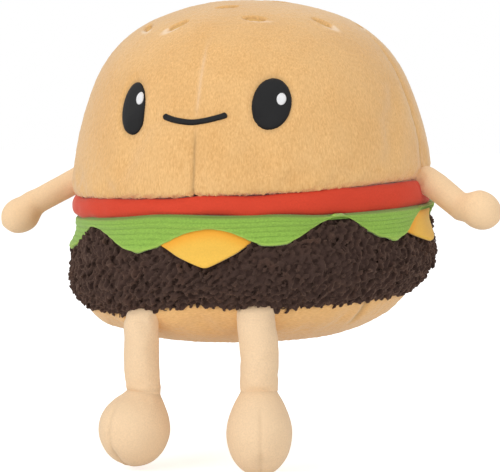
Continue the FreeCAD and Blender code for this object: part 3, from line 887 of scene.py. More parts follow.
def mark_rows(piece, pitch, turn=0.0):
    """Rows of thread across a flat piece, one turn of the wave for each."""
    flat = points_of(piece)
    rows = np.zeros((len(flat), 3))
    rows[:, 0] = (flat[:, 0] * math.cos(turn) + flat[:, 1] * math.sin(turn)) / pitch / WAVES_PER_UNIT
    note(piece, "rows", rows)


def stitched_oval(name, half, rings=5, sides=36, centre=(0, 0)):
    """A flat oval of rings: a filled circle inset again and again."""
    circle = {"vertices": sides, "radius": half[1], "fill_type": "NGON"}
    piece = made(bpy.ops.mesh.primitive_circle_add, name, **circle)
    edit_all()
    for _ in range(rings - 1):
        bpy.ops.mesh.inset(thickness=half[1] / rings)
    bpy.ops.mesh.select_all(action="SELECT")
    bpy.ops.transform.resize(value=(half[0] / half[1], 1, 1))
    bpy.ops.transform.translate(value=(*centre, 0))
    leave_edit()
    return piece


def crowned(piece, half, rise, edge, centre=(0, 0)):
    """Height over the bun: rise in the middle of an oval, rounding off to edge at its rim."""
    flat = points_of(piece)
    away = np.hypot((flat[:, 0] - centre[0]) / half[0], (flat[:, 1] - centre[1]) / half[1])
    return edge + (rise - edge) * np.sqrt(np.clip(1 - away**6, 0, 1))


class BURGER_OT_face(bpy.types.Operator):
    """Embroider the eyes, their white flecks and the mouth"""

    bl_idname = "burger.face"
    bl_label = "Face"

    round_end = 0.06

    def execute(self, context):
        black, white = satin("black_thread", colours().thread), satin("white_thread", colours().glint)
        for name, side in SIDES:
            self.eye(name, side, black)
            self.fleck(name, side, white)
        self.mouth(black)
        return {"FINISHED"}

    def eye(self, name, side, black):
        half = EYE_HALVES[side]
        eye = stitched_oval(f"{name}_eye_satin", half, rings=12, sides=120)
        mark_rows(eye, 0.5 * MM, THREAD_LEAN)
        ragged = 1 + 0.008 * noise_at(points_of(eye), 1.2 * MM, seed=3)
        put_points(eye, points_of(eye) * ragged[:, None])
        laid_on_bun(eye, eye_spot(side), crowned(eye, half, 1.3 * MM, 0.1 * MM))
        shown(thickened(eye, 0.8 * MM), "black_thread", black, f"{name}_eye")

    def fleck(self, name, side, white):
        place = GLINT_PLACES[side]
        fleck = stitched_oval(f"{name}_glint_satin", GLINT_HALF, centre=place)
        mark_rows(fleck, 0.45 * MM, THREAD_LEAN)
        laid_on_bun(fleck, eye_spot(side), crowned(fleck, GLINT_HALF, 1.9 * MM, 1.1 * MM, place))
        shown(thickened(fleck, 0.6 * MM), "white_thread", white, f"{name}_eye_glint")

    def mouth(self, black):
        """A band of thread along an arc, with round ends."""
        radius = (MOUTH_HALF**2 + MOUTH_SAG**2) / (2 * MOUTH_SAG)
        swing = math.asin(MOUTH_HALF / radius)
        mouth = grid("mouth_satin", 60, 8)
        flat = points_of(mouth)
        past = np.clip((np.abs(flat[:, 0]) - 1 + self.round_end) / self.round_end, 0, 1)
        half = MOUTH_LINE * np.sqrt(np.clip(1 - past**2, 0.02, 1))
        turn = flat[:, 0] * swing
        out = radius - flat[:, 1] * half
        drawn = np.stack([out * np.sin(turn), radius - MOUTH_SAG / 2 - out * np.cos(turn), 0 * turn], axis=1)
        rise = 0.15 * MM + 0.9 * MM * np.sqrt(np.clip(1 - flat[:, 1] ** 4, 0, 1))
        put_points(mouth, drawn)
        mark_rows(mouth, 0.5 * MM)
        laid_on_bun(mouth, mouth_spot(), rise)
        shown(cleaned(thickened(mouth, 0.8 * MM)), "black_thread", black, "mouth")


class BURGER_OT_sesame_seeds(bpy.types.Operator):
    """Embroider the sesame seeds on the crown"""

    bl_idname = "burger.sesame_seeds"
    bl_label = "Sesame Seeds"

    def execute(self, context):
        seeds = [self.seed(spot) for spot in seed_spots()]
        choose(seeds[0])
        for seed in seeds:
            seed.select_set(True)
        bpy.ops.object.join()
        thread = satin("cream_thread", colours().seed)
        shown(named("seed_satin"), "cream_thread", thread, "sesame_seeds")
        return {"FINISHED"}

    def seed(self, spot):
        seed = stitched_oval("seed", SEED_HALF)
        flat = points_of(seed)
        flat[:, 1] *= 1 - 0.45 * (flat[:, 0] / SEED_HALF[0]) ** 2
        put_points(seed, flat)
        mark_rows(seed, 0.5 * MM)
        laid_on_bun(seed, spot, crowned(seed, SEED_HALF, 1.0 * MM, 0.0))
        return thickened(seed, 0.7 * MM)


class BURGER_OT_tomato(bpy.types.Operator):
    """Sew the plump tomato band"""

    bl_idname = "burger.tomato"
    bl_label = "Tomato"

    inside = 94 * MM
    rim = 103.2 * MM
    bulge = 4.6 * MM
    rim_points = 16
    sewn_reach = 104 * MM
    slack_band = (100 * MM, 105 * MM)
    shade_band = (101.5 * MM, 105 * MM)

    def execute(self, context):
        low, high = TOMATO_LOW.z, TOMATO_HIGH.z
        middle, half = (low + high) / 2, (high - low) / 2
        profile = [(self.inside, low)]
        for k in range(self.rim_points + 1):
            turn = -math.pi / 2 + math.pi * k / self.rim_points
            profile.append((self.rim + self.bulge * math.cos(turn) ** 0.6, middle + half * math.sin(turn)))
        band = spun("tomato_band", profile + [(self.inside, high), (self.inside, low)], 160)
        stuff(band, reach_of(points_of(band)) < self.sewn_reach, pressure=2.0, most=0.5 * MM)
        apply_modifier(band, "SMOOTH", factor=0.5, iterations=4)
        subdivide(band, 1)
        points = points_of(band)
        outside = smooth(*self.slack_band, reach_of(points))
        slack = 0.5 * MM * noise_at(points * np.array([1, 1, 0.4]), 34 * MM, seed=11)
        points[:, 2] += slack * outside
        level = points[:, 2] - middle
        points[:, 2] += (0.9 * MM - 1.4 * MM * front_sag(points)) * smooth(0, half, level)
        points[:, 2] += middle_seam(points) * smooth(0, half, -level)
        # Painted shade: the inner part of the band, tucked in under the bun and over the lettuce, is darker.
        note(band, "crease_shade", (1 - smooth(*self.shade_band, reach_of(points))) * 0.8)
        put_points(band, settle(points))
        shown(band, "tomato_knit", knit("tomato_knit", colours().tomato), "tomato")
        return {"FINISHED"}


# The two sheets that hang over the patty, with (radius, height) points of their fall in millimetres

LETTUCE_FALL = ((97, 76.6), (105.4, 76.8), (108.6, 71.3), (110.2, 57), (110.6, 44))
CHEESE_FALL = ((97, 74.6), (103, 74.2), (106.4, 69), (109.2, 57), (111.0, 42))
FRONT_SHIFT = math.radians(5.4)
LETTUCE_LOBES = 8
LETTUCE_VALLEY = 71.4 * MM
LETTUCE_LOBE = 58.6 * MM
LETTUCE_GAP_TURN = math.radians(97)
LETTUCE_GAP_RISE = 14 * MM
LETTUCE_HIGHEST = 73.2 * MM
CHEESE_TIP = 48.8 * MM
CHEESE_LEFT_TURN = math.radians(86)
CHEESE_LEFT_RISE = 5.0 * MM
CHEESE_REACH = 112 * MM
CHEESE_TIP_ROUND = 2.2 * MM
CHEESE_HIGHEST = 74 * MM


def leaf(name, columns, rows, fall, edge_level, flare):
    """A sheet sewn in under the tomato, which falls along an outline to an edge at each azimuth's level."""
    run, along = measured(tangent_run(in_metres(fall), 0, 0.25 * MM))
    piece = grid(name, columns, rows)
    flat = points_of(piece)
    turn = flat[:, 0] * math.pi
    falling = run[:, 1].argmax()
    reach = np.interp(-edge_level(turn), -run[falling:, 1], along[falling:])
    down = (1 - flat[:, 1]) / 2 * reach
    radius, height = at_distance(run, along, down)
    radius = radius + flare(turn) * smooth(6 * MM, 22 * MM, down)
    put_points(piece, np.stack([radius * np.sin(turn), -radius * np.cos(turn), height], axis=1))
    return cleaned(piece)


def lettuce_edge(turn):
    """Height of the lettuce's edge: eight lobes, with a wide gap over the cheese corner at the toy's left."""
    front = np.clip(np.cos(turn), 0, 1) ** 14
    shift = FRONT_SHIFT * (1 - smooth(0.1, 0.75, turn)) * smooth(-1.9, -1.2, turn)
    wave = (1 + np.cos(LETTUCE_LOBES * (turn - shift))) / 2
    valley = LETTUCE_VALLEY - 1.8 * MM * front + 1.6 * MM * bell(turn - 0.8, 0.2)
    lobe = LETTUCE_LOBE + 1.0 * MM * np.sin(3 * turn + 0.6)
    edge = lobe + (valley - lobe) * wave ** (1.25 - 0.35 * front)
    gap = bell(turn - LETTUCE_GAP_TURN, 0.28)
    return np.minimum(edge + LETTUCE_GAP_RISE * gap, LETTUCE_HIGHEST)


def cheese_edge(turn):
    """Height of the cheese's edge: four square corners, the one at the toy's left a little shorter."""
    left = bell(turn - CHEESE_LEFT_TURN, 0.6)
    shift = 0.09 * left - FRONT_SHIFT * bell(turn, 0.6)
    aside = quarter_of(turn + shift) * CHEESE_REACH
    away = np.sqrt(aside**2 + CHEESE_TIP_ROUND**2) - CHEESE_TIP_ROUND
    tip = CHEESE_TIP + CHEESE_LEFT_RISE * left
    return np.minimum(tip + (0.47 - 0.12 * left) * away, CHEESE_HIGHEST)


class BURGER_OT_cheese(bpy.types.Operator):
    """Cut the felt cheese slice and hang its corners over the patty"""

    bl_idname = "burger.cheese"
    bl_label = "Cheese"

    def execute(self, context):
        felt_slice = leaf("cheese_slice", 440, 22, CHEESE_FALL, cheese_edge, self.flare)
        points = points_of(felt_slice)
        over = points[:, 2] - lettuce_edge(azimuth_of(points))
        # Painted shade: a deeper orange at and just below the lettuce's edge, where the lettuce shades the
        # cheese.
        note(felt_slice, "crease_shade", bell(np.clip(over + 1 * MM, -40 * MM, 0), 4.5 * MM))
        put_points(felt_slice, settle(drawn_in(points)))
        thickened(felt_slice, sizes().cheese_thickness)
        shown(felt_slice, "cheese_felt", felt("cheese_felt", colours().cheese), "cheese")
        return {"FINISHED"}

    def flare(self, turn):
        """How far the corners stand out, the one at the toy's left the most."""
        return 1.2 * MM * bell(quarter_of(turn), 0.2) + 2.0 * MM * bell(turn - 1.45, 0.25)


class BURGER_OT_lettuce(bpy.types.Operator):
    """Cut the ribbed lettuce leaf and hang its lobes over the cheese"""

    bl_idname = "burger.lettuce"
    bl_label = "Lettuce"

    def execute(self, context):
        size = sizes()
        sheet = leaf("lettuce_leaf", 420, 64, LETTUCE_FALL, lettuce_edge, self.flare)
        points, normals = points_of(sheet), normals_of(sheet)
        down = np.clip(TOMATO_LOW.z + 0.4 * MM - points[:, 2], 0, None)
        rib = np.abs(np.sin(math.pi * down / size.wale))
        lobe = points[:, 2] - lettuce_edge(azimuth_of(points))
        ribs = points + normals * (size.wale_height * (np.sqrt(rib) - 0.5))[:, None]
        ribs[:, 2] += middle_seam(points) * np.clip(lobe / (lobe + TOMATO_LOW.z - points[:, 2] + MM), 0, 1)
        put_points(sheet, settle(drawn_in(ribs)))
        # Painted shade: darker in the grooves between ribs and just under the tomato.
        note(sheet, "crease_shade", 0.75 * bell(rib, 0.22) + 0.4 * bell(down, 1.8 * MM))
        note(sheet, "edge", bell(lobe, 0.8 * MM))
        thickened(sheet, size.lettuce_thickness)
        shown(sheet, "lettuce_ribbed", ribbed("lettuce_ribbed", colours().lettuce), "lettuce")
        return {"FINISHED"}

    def flare(self, turn):
        """How far the leaf stands out, the lobes more than the valleys."""
        lobes = (1 - np.cos(LETTUCE_LOBES * turn)) / 2
        return 0.2 * MM + 1.0 * MM * lobes + 0.5 * MM * np.sin(5 * turn + 1)


class BURGER_OT_patty(bpy.types.Operator):
    """Cover the patty with curls of wool, matted into one surface"""

    bl_idname = "burger.patty"
    bl_label = "Patty"

    ground_line = ((94, 73.5), (102.5, 72), (105.6, 67.5), (107.4, 47), (105, 33), (96, 23.5))
    inside = 90 * MM
    curls = {"count": 3400, "seed": 7, "wide": 1.0, "thick": 1.0, "least_room": 0.3}
    wisps = {"count": 320, "seed": 17, "wide": 1.3, "thick": 0.28, "least_room": 0.95}
    golden_share = 0.618034
    first_curl = 9 * MM
    pressed_band = (-2.5 * MM, 1.0 * MM)
    seam_band = (26 * MM, 46 * MM)
    bends = 7
    corners = 5
    voxel = 1.1 * MM
    tallest = 4.0 * MM

    def execute(self, context):
        side = tangent_run(in_metres(self.ground_line), 0, 3 * MM)
        inner = [(self.inside, PATTY_LOW.z + 3 * MM), (self.inside, PATTY_HIGH.z - 2.8 * MM)]
        patty = spun("patty_wool", side + inner + side[:1], 128)
        ground = surface_of(patty)
        self.join(patty, *self.locks(side, **self.curls))
        choose(patty)
        patty.data.remesh_voxel_size = self.voxel
        bpy.ops.object.voxel_remesh()
        apply_modifier(patty, "SMOOTH", factor=0.5, iterations=3)
        ruffle(patty, 1.6 * MM, 0.7 * MM)
        self.join(patty, *self.locks(side, **self.wisps))
        points = points_of(patty)
        height = np.array([ground.find_nearest(Vector(p))[3] for p in points])
        note(patty, "raised", np.clip(height / self.tallest, 0, 1))
        points[:, 2] += low_seam(points) * (1 - smooth(*self.seam_band, points[:, 2]))
        put_points(patty, settle(points))
        sherpa = wool("patty_sherpa", colours().patty, colours().patty_tip_highlight)
        shown(patty, "patty_sherpa", sherpa, "patty")
        return {"FINISHED"}

    def locks(self, side, count, seed, wide, thick, least_room):
        """Points and faces of many curls: each is a short lock of wool that bends round on itself."""
        random = np.random.default_rng(seed)
        run, along = measured(side)
        first, last = self.first_curl, along[-1] + 1.0 * MM
        points, faces = [], []
        for k in range(count):
            turn = 2 * math.pi * (k * self.golden_share % 1.0)
            spot = first + (last - first) * ((k + random.uniform(0, 1)) / count)
            radius, height = at_distance(run, along, spot)
            room = self.room(turn, height)
            if room < least_room:
                continue
            near = min(spot, along[-1] - MM)
            ahead, back = at_distance(run, along, near + MM), at_distance(run, along, near - MM)
            out = np.array([back[1] - ahead[1], ahead[0] - back[0]])
            out /= np.linalg.norm(out)
            front = np.array([math.sin(turn), -math.cos(turn), 0])
            outward = front * out[0] + np.array([0, 0, out[1]])
            middle = front * radius + np.array([0, 0, height])
            self.add_faces(faces, len(points))
            points += self.lock(random, middle, outward, room, wide, thick)
        return points, faces

    def room(self, turn, height):
        """How far curls may stand up: pressed flat where the cheese or the lettuce lies on them."""
        turn = wrapped(turn)
        edge = min(lettuce_edge(turn), cheese_edge(turn))
        return 1 - smooth(*self.pressed_band, height - edge)

    def lock(self, random, middle, outward, room, wide, thick):
        """Points of one lock: small rings round a bent spine."""
        curl = wide * sizes().curl_size * random.uniform(0.7, 1.25)
        thread = thick * sizes().curl_thread * random.uniform(0.8, 1.15)
        side = np.cross(outward, random.normal(size=3))
        side /= np.linalg.norm(side)
        tilt = random.uniform(0.1, 1.2)
        up = outward * math.cos(tilt) + np.cross(outward, side) * math.sin(tilt)
        axis = np.cross(side, up)
        centre = middle + outward * (0.5 * MM + 1.9 * MM * random.uniform(0, 1)) * room
        start, sweep = random.uniform(0.2, 1.4), random.uniform(2.6, 4.6)
        points = []
        for k in range(self.bends):
            share = k / (self.bends - 1)
            bend = start + sweep * share
            reach = curl * (1 - 0.35 * share) * (0.5 + 0.5 * room)
            spoke = side * math.cos(bend) + up * math.sin(bend)
            spine = centre + spoke * reach + axis * curl * 0.9 * (share - 0.5)
            half = thread * (1 - 0.5 * abs(2 * share - 1) ** 3)
            points += list(oval_ring(spine, spoke, axis, half, half, self.corners))
        return points

    def add_faces(self, faces, base):
        """The sides and the two ends of a lock whose first point has the number base."""
        n = self.corners
        for k in range(self.bends - 1):
            for c in range(n):
                a, b = base + k * n + c, base + k * n + (c + 1) % n
                faces.append((a, b, b + n, a + n))
        ends = [tuple(base + level * n + c for c in range(n)) for level in (0, self.bends - 1)]
        faces += [ends[0][::-1], ends[1]]

    def join(self, patty, points, faces):
        mesh = bpy.data.meshes.new("curls")
        mesh.from_pydata([tuple(p) for p in points], [], faces)
        curls = bpy.data.objects.new("curls", mesh)
        bpy.context.scene.collection.objects.link(curls)
        cleaned(curls)
        choose(patty)
        curls.select_set(True)
        bpy.ops.object.join()


class BURGER_OT_bottom_bun(bpy.types.Operator):
    """Sew the shallow bottom bun with its flat base"""

    bl_idname = "burger.bottom_bun"
    bl_label = "Bottom Bun"

    base_radius = 56 * MM
    flank = (81 * MM, 7 * MM)
    pucker_turns = (64, 154, -116, -26)
    pucker_band = (6 * MM, 14 * MM)
    pucker_width = 2.2 * MM
    pucker_depth = 1.6 * MM
    seam_band = (5 * MM, 20 * MM)
    nap_reach = 90 * MM

    def execute(self, context):
        top = BASE_HIGH.z
        bowl = tangent_run([(0, 0), (self.base_radius, 0), self.flank, (BASE_HIGH.x, top)], 0, 3.4 * MM)
        bun = spun("bottom_bun_plush", bowl + [(90 * MM, top + 1 * MM), (60 * MM, top), (0, top)], 128)
        height = points_of(bun)[:, 2]
        stuff(bun, (height > top - 1 * MM) | (height < 0.2 * MM), pressure=3.0, most=1.5 * MM)
        subdivide(bun, 2)
        points, normals = points_of(bun), normals_of(bun)
        turn = azimuth_of(points)
        crease_shade = np.zeros(len(points))
        for pucker in self.pucker_turns:
            aside = np.abs(wrapped(turn - math.radians(pucker))) * reach_of(points)
            rise = smooth(*self.pucker_band, points[:, 2]) * bell(aside, self.pucker_width)
            points -= normals * (self.pucker_depth * rise)[:, None]
            # Painted shade: darker in each pucker.
            crease_shade += 0.6 * rise
        note(bun, "crease_shade", np.clip(crease_shade, 0, 1))
        note(bun, "nap", np.stack([turn * self.nap_reach, reach_of(points) + points[:, 2], 0 * turn], axis=1))
        points[:, 2] += low_seam(points) * smooth(*self.seam_band, points[:, 2])
        put_points(bun, settle(points))
        ruffle(bun, PILE_SIZE, 0.6 * MM)
        # Painted light: the bottom bun wears the same golden plush as the top, made 12 percent lighter.
        cloth = plush("bun_plush_low", scaled(colours().bun, 1.12), (2.6 * MM, 0.8 * MM, 0.8 * MM), "nap")
        shown(bun, "bun_plush", cloth, "bottom_bun")
        return {"FINISHED"}


# Limbs: covers made as tubes of ovals along a middle line, and the fibrefill in them


def fibrefill(piece, name, depth):
    """Stuffing under a cover: the cover's own form drawn in, with lumps."""
    stuffing = piece.copy()
    stuffing.data = piece.data.copy()
    bpy.context.scene.collection.objects.link(stuffing)
    stuffing.name = stuffing.data.name = name
    choose(stuffing)
    edit_all()
    bpy.ops.transform.shrink_fatten(value=-depth)
    leave_edit()
    ruffle(stuffing, 6 * MM, 0.8 * MM)
    return stuffing


def filled(stuffing, node):
    material = bpy.data.materials.get("fibrefill") or fluff("fibrefill", colours().fibrefill)
    dress(stuffing, "fibrefill", material, node)


class BURGER_OT_arms(bpy.types.Operator):
    """Sew the arms with their mitten hands into the seam over the tomato"""

    bl_idname = "burger.arms"
    bl_label = "Arms"

    sides = 28
    stations = 30
    root = 99 * MM
    root_level = 89.6 * MM
    pivot_reach = 103.8 * MM
    pivot_level = 89.75 * MM
    bend_length = 12 * MM
    taper_length = 10 * MM
    sweep = math.radians(15)
    sweep_length = 14 * MM
    slopes = {1: math.radians(25), -1: math.radians(28)}
    reaches = {1: 60 * MM, -1: 69 * MM}
    lifts = {1: 0.5 * MM, -1: 5 * MM}
    hand_length = 26 * MM
    hand_shifts = {1: 4.6 * MM, -1: -2.6 * MM}
    sewn_reach = 106 * MM
    shade_band = (104 * MM, 109 * MM)
    tilt_band = (10 * MM, 45 * MM)

    def execute(self, context):
        cloth = minky("limb_minky_arms", colours().limb)
        for name, side in SIDES:
            arm = self.arm(name, side)
            stuffing = fibrefill(arm, f"{name}_arm_fill", 2.2 * MM)
            subdivide(arm, 2)
            ruffle(arm, 9 * MM, 0.35 * MM)
            # Painted shade: darker near the root, where the arm runs into the seam.
            note(arm, "crease_shade", 0.35 * (1 - smooth(*self.shade_band, np.abs(points_of(arm)[:, 0]))))
            dress(arm, "limb_minky", cloth, f"{name}_arm_front", f"{name}_arm_back")
            filled(stuffing, f"{name}_arm_stuffing")
            for piece in (arm, stuffing):
                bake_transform(piece)
        return {"FINISHED"}

    def arm(self, name, side):
        rings = [self.ring(side, self.reaches[side] * k / self.stations) for k in range(self.stations + 1)]
        arm = tube(f"{name}_arm_soft", rings, self.sides)
        stuff(arm, np.abs(points_of(arm)[:, 0]) < self.sewn_reach, pressure=3.0, most=0.8 * MM)
        return arm

    def ring(self, side, s):
        """One oval of the arm: flat at the seam, round from there on, with the hand set off to one side."""
        half = sizes().arm_diameter / 2
        end = self.reaches[side]
        wrist = end - self.hand_length
        bend = self.slopes[side] * smooth(0, self.bend_length, s)
        over = Vector((math.sin(bend), 0, math.cos(bend)))
        taper = min(1, s / self.taper_length)
        thick = half * min(1.0, 0.12 + taper**0.8)
        wide = half * (1.12 - 0.12 * taper)
        shift = 0.0
        if s > wrist:
            share = (s - wrist) / (end - wrist)
            thick = wide = self.hand_half(share, half)
            shift = self.hand_shifts[side] * float(smooth(0, 0.35, share))
        out, down = self.line(s, self.slopes[side])
        centre = Vector((self.root + out, 0, self.root_level + self.lifts[side] - down)) + over * shift
        around = oval_ring(np.array(centre), np.array((0, 1, 0)), np.array(over), wide, thick, self.sides)
        base = np.array((self.root, 0, 0))
        turn = np.array(Matrix.Rotation(-self.sweep * min(1, s / self.sweep_length), 3, "Z"))
        around = (around - base) @ turn.T + base
        if side < 0:
            return (around * (side, 1, 1))[::-1]
        fade = 1 - smooth(*self.tilt_band, s)
        around[:, 2] += LAYER_TILT * (around @ np.array(ACROSS)) * fade
        return around

    def hand_half(self, share, half):
        """Half the width at a share of the hand: it swells from the wrist and ends round."""
        swell = math.sin(math.pi * min(1, share / 0.52) / 2)
        here = half + (sizes().hand_diameter / 2 - half) * swell
        return here * math.sqrt(max(0.02, 1 - (max(0, share - 0.5) / 0.5) ** 2))

    def line(self, s, slope):
        """How far out and down the middle of the arm is, at a distance along it."""
        steps = 24
        bend = slope * smooth(0, self.bend_length, np.linspace(0, s, steps))
        weight = np.full(steps, s / (steps - 1))
        weight[[0, -1]] /= 2
        return np.cos(bend) @ weight, np.sin(bend) @ weight


# Legs and feet, which share the line from the hip to the ankle

LEG_TURN = math.radians(21.4)
HIP_REACH = 97.7 * MM
ANKLE_PINCH = 0.85
ANKLE_SHIFT = {1: 2.2 * MM, -1: -2.4 * MM}
LEG_SHIFT = {1: 0.3 * MM, -1: 2.6 * MM}
LEG_SWAY = {1: 0.0, -1: 0.6 * MM}


def hip_place(side):
    return side * HIP_REACH * math.sin(LEG_TURN), -HIP_REACH * math.cos(LEG_TURN)


class BURGER_OT_legs(bpy.types.Operator):
    """Sew the leg tubes into the seam under the patty"""

    bl_idname = "burger.legs"
    bl_label = "Legs"

    sides = 28
    stations = 26
    tucked = 5 * MM
    taper_length = 9 * MM
    bend_length = 13 * MM
    slimness = {1: 1.0, -1: 0.94}
    bow = 2.2 * MM
    set_back = 5.5 * MM
    settled_band = (0, 25 * MM)

    def execute(self, context):
        cloth = minky("limb_minky_legs", colours().leg)
        for name, side in SIDES:
            leg = self.leg(name, side)
            stuffing = fibrefill(leg, f"{name}_leg_fill", 2.4 * MM)
            subdivide(leg, 2)
            ruffle(leg, 8 * MM, 0.2 * MM)
            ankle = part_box(f"{name}_foot_outer")[1].z
            # Painted shade: a dark band at the stitched ankle, where the leg folds into the foot.
            note(leg, "crease_shade", 0.25 * bell(points_of(leg)[:, 2] - ankle, 1.2 * MM))
            dress(leg, "limb_minky", cloth, f"{name}_leg_cover")
            filled(stuffing, f"{name}_leg_stuffing")
            x, y = hip_place(side)
            for piece in (leg, stuffing):
                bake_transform(piece)
        return {"FINISHED"}

    def leg(self, name, side):
        low, high = (corner.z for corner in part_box(f"{name}_leg_cover"))
        low += ANKLE_SHIFT[side]
        rings = [self.ring(side, low, high, k / self.stations) for k in range(self.stations + 1)]
        leg = tube(f"{name}_leg_soft", rings, self.sides)
        height = points_of(leg)[:, 2]
        sewn = (height > high - 3 * MM) | (height < low + 1.5 * MM)
        stuff(leg, sewn, pressure=3.0, most=0.4 * MM, slack=0.02)
        return leg

    def ring(self, side, low, high, share):
        """One oval at a share of the way down: flat at the seam, round below it and drawn in at the ankle."""
        turn = side * LEG_TURN
        across = np.array((math.cos(turn), math.sin(turn), 0))
        front = np.array((math.sin(turn), -math.cos(turn), 0))
        z = high + self.tucked + (low - high - self.tucked - 1 * MM) * share
        half = sizes().leg_diameter / 2 * self.slimness[side]
        root = min(1, 0.6 + max(0, high - z + self.tucked) / self.taper_length)
        pinch = min(1, ANKLE_PINCH + 0.3 * (max(0, z - low) / self.taper_length) ** 0.7)
        wide = half * (1 + (0.03 if side > 0 else 0.05 * share))
        forward = self.bow * math.sin(math.pi * share) - self.set_back * (1 - share) ** 4
        sway = LEG_SHIFT[side] + LEG_SWAY[side] * share
        centre = np.array((*hip_place(side), z)) + front * forward + across * sway
        ring = oval_ring(centre, across, front, wide, half * root * pinch, self.sides)
        return settle(ring, smooth(*self.settled_band, z))


class BURGER_OT_feet(bpy.types.Operator):
    """Sew the pear-shaped feet on below the stitched ankles"""

    bl_idname = "burger.feet"
    bl_label = "Feet"

    sides = 36
    stations = 24
    neck = 0.1
    widest = 0.5
    half_depth = 20.5 * MM
    neck_taper = 8 * MM
    toe_depth = 39 * MM
    seam_band = (6 * MM, 16 * MM)
    bend_length = 5 * MM
    reaches = {1: 46.7 * MM, -1: 41.5 * MM}
    breadths = {1: 0.935, -1: 1.01}
    tilts = {1: math.radians(8), -1: math.radians(19)}

    def execute(self, context):
        cloth = minky("limb_minky_feet", colours().leg)
        for name, side in SIDES:
            place = self.place(name, side)
            foot = self.foot(name, side, place)
            stuffing = fibrefill(foot, f"{name}_foot_fill", 3.6 * MM)
            subdivide(foot, 2)
            self.sew_seam(foot, place)
            ruffle(foot, 10 * MM, 0.4 * MM)
            dress(foot, "limb_minky", cloth, f"{name}_foot_outer", f"{name}_foot_inner")
            filled(stuffing, f"{name}_foot_stuffing")
            for piece in (foot, stuffing):
                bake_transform(piece)
        return {"FINISHED"}

    def place(self, name, side):
        """The foot's own frame: X across, Y backward, Z up along the leg, at the stitched ankle."""
        x, y = hip_place(side)
        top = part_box(f"{name}_foot_outer")[1].z
        turn = Matrix.Rotation(side * LEG_TURN, 4, "Z") @ Matrix.Rotation(self.tilts[side], 4, (-1, 0, 0))
        shift = LEG_SHIFT[side] + LEG_SWAY[side]
        across = (math.cos(LEG_TURN) * shift, side * math.sin(LEG_TURN) * shift, ANKLE_SHIFT[side])
        return Matrix.Translation(across) @ Matrix.Translation((x, y, top)) @ turn

    def foot(self, name, side, place):
        turned = np.array(place)
        rings = []
        for k in range(self.stations + 1):
            share = -self.neck + (1 + self.neck) * math.sin(math.pi / 2 * (k / self.stations) ** 1.2)
            wide, deep = self.halves(side, share)
            forward = 1.0 * MM * math.sin(math.pi * max(0, share))
            centre = np.array((0, -forward, -share * self.reaches[side]))
            ring = oval_ring(centre, np.array((1, 0, 0)), np.array((0, -1, 0)), wide, deep, self.sides)
            rings.append(ring @ turned[:3, :3].T + turned[:3, 3])
        foot = tube(f"{name}_foot_soft", rings, self.sides)
        sewn = points_of(foot)[:, 2] > place.translation.z - 2 * MM
        stuff(foot, sewn, pressure=3.0, most=1.0 * MM)
        return foot

    def halves(self, side, share):
        """Half width and half depth at a share of the foot. A share under 0 is the neck inside the leg."""
        half = sizes().leg_diameter / 2
        broad = sizes().foot_width / 2 * self.breadths[side]
        wide, deep = half - 0.4 * MM, ANKLE_PINCH * half - 0.3 * MM
        if share < 0:
            return wide + self.neck_taper * share, deep + self.neck_taper * share
        if share <= self.widest:
            rise = math.sin(math.pi / 2 * share / self.widest)
            return wide + (broad - wide) * rise, deep + (self.half_depth - deep) * rise**0.9
        fall = math.sqrt(max(0.004, 1 - ((share - self.widest) / (1 - self.widest)) ** 2))
        return broad * fall, self.half_depth * fall

    def sew_seam(self, foot, place):
        """The seam down the front, over the toe and up the back, and the stitched ankle."""
        points, normals = points_of(foot), normals_of(foot)
        inside = into_frame(points, place)
        across, depth = np.abs(inside[:, 0]), -inside[:, 2]
        seam = bell(across, 1.2 * MM) * smooth(*self.seam_band, depth)
        toe = bell(depth - self.toe_depth, 3.5 * MM) * bell(across, 4 * MM) * (inside[:, 1] < 0)
        put_points(foot, points - normals * (0.7 * MM * seam + 1.0 * MM * toe)[:, None])
        # Painted shade: darker along the seam's groove, in the dimple at the toe and at the ankle.
        note(foot, "crease_shade", np.clip(0.18 * seam + 0.2 * toe + 0.35 * bell(depth, 1.8 * MM), 0, 1))


class BURGER_OT_body_stuffing(bpy.types.Operator):
    """Fill the body with one lumpy core of fibrefill"""

    bl_idname = "burger.body_stuffing"
    bl_label = "Body Stuffing"

    cover = 8 * MM

    def execute(self, context):
        dome = [(r - self.cover if r else 0, z - self.cover) for r, z in bun_profile()]
        core = tangent_run(dome[:4], 0, 8 * MM) + [
            (90 * MM, SEAM_TOP + 4 * MM),
            (88 * MM, SEAM_TOP - 16 * MM),
            (96 * MM, PATTY_LOW.z + 30 * MM),
            (92 * MM, PATTY_LOW.z + 8 * MM),
            (72 * MM, 9 * MM),
            (50 * MM, 6 * MM),
            (0, 6 * MM),
        ]
        stuffing = spun("body_fill", core, 64)
        subdivide(stuffing, 1)
        ruffle(stuffing, 12 * MM, 3 * MM)
        put_points(stuffing, settle(points_of(stuffing)))
        filled(stuffing, "body_stuffing")
        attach(stuffing, "body")
        return {"FINISHED"}


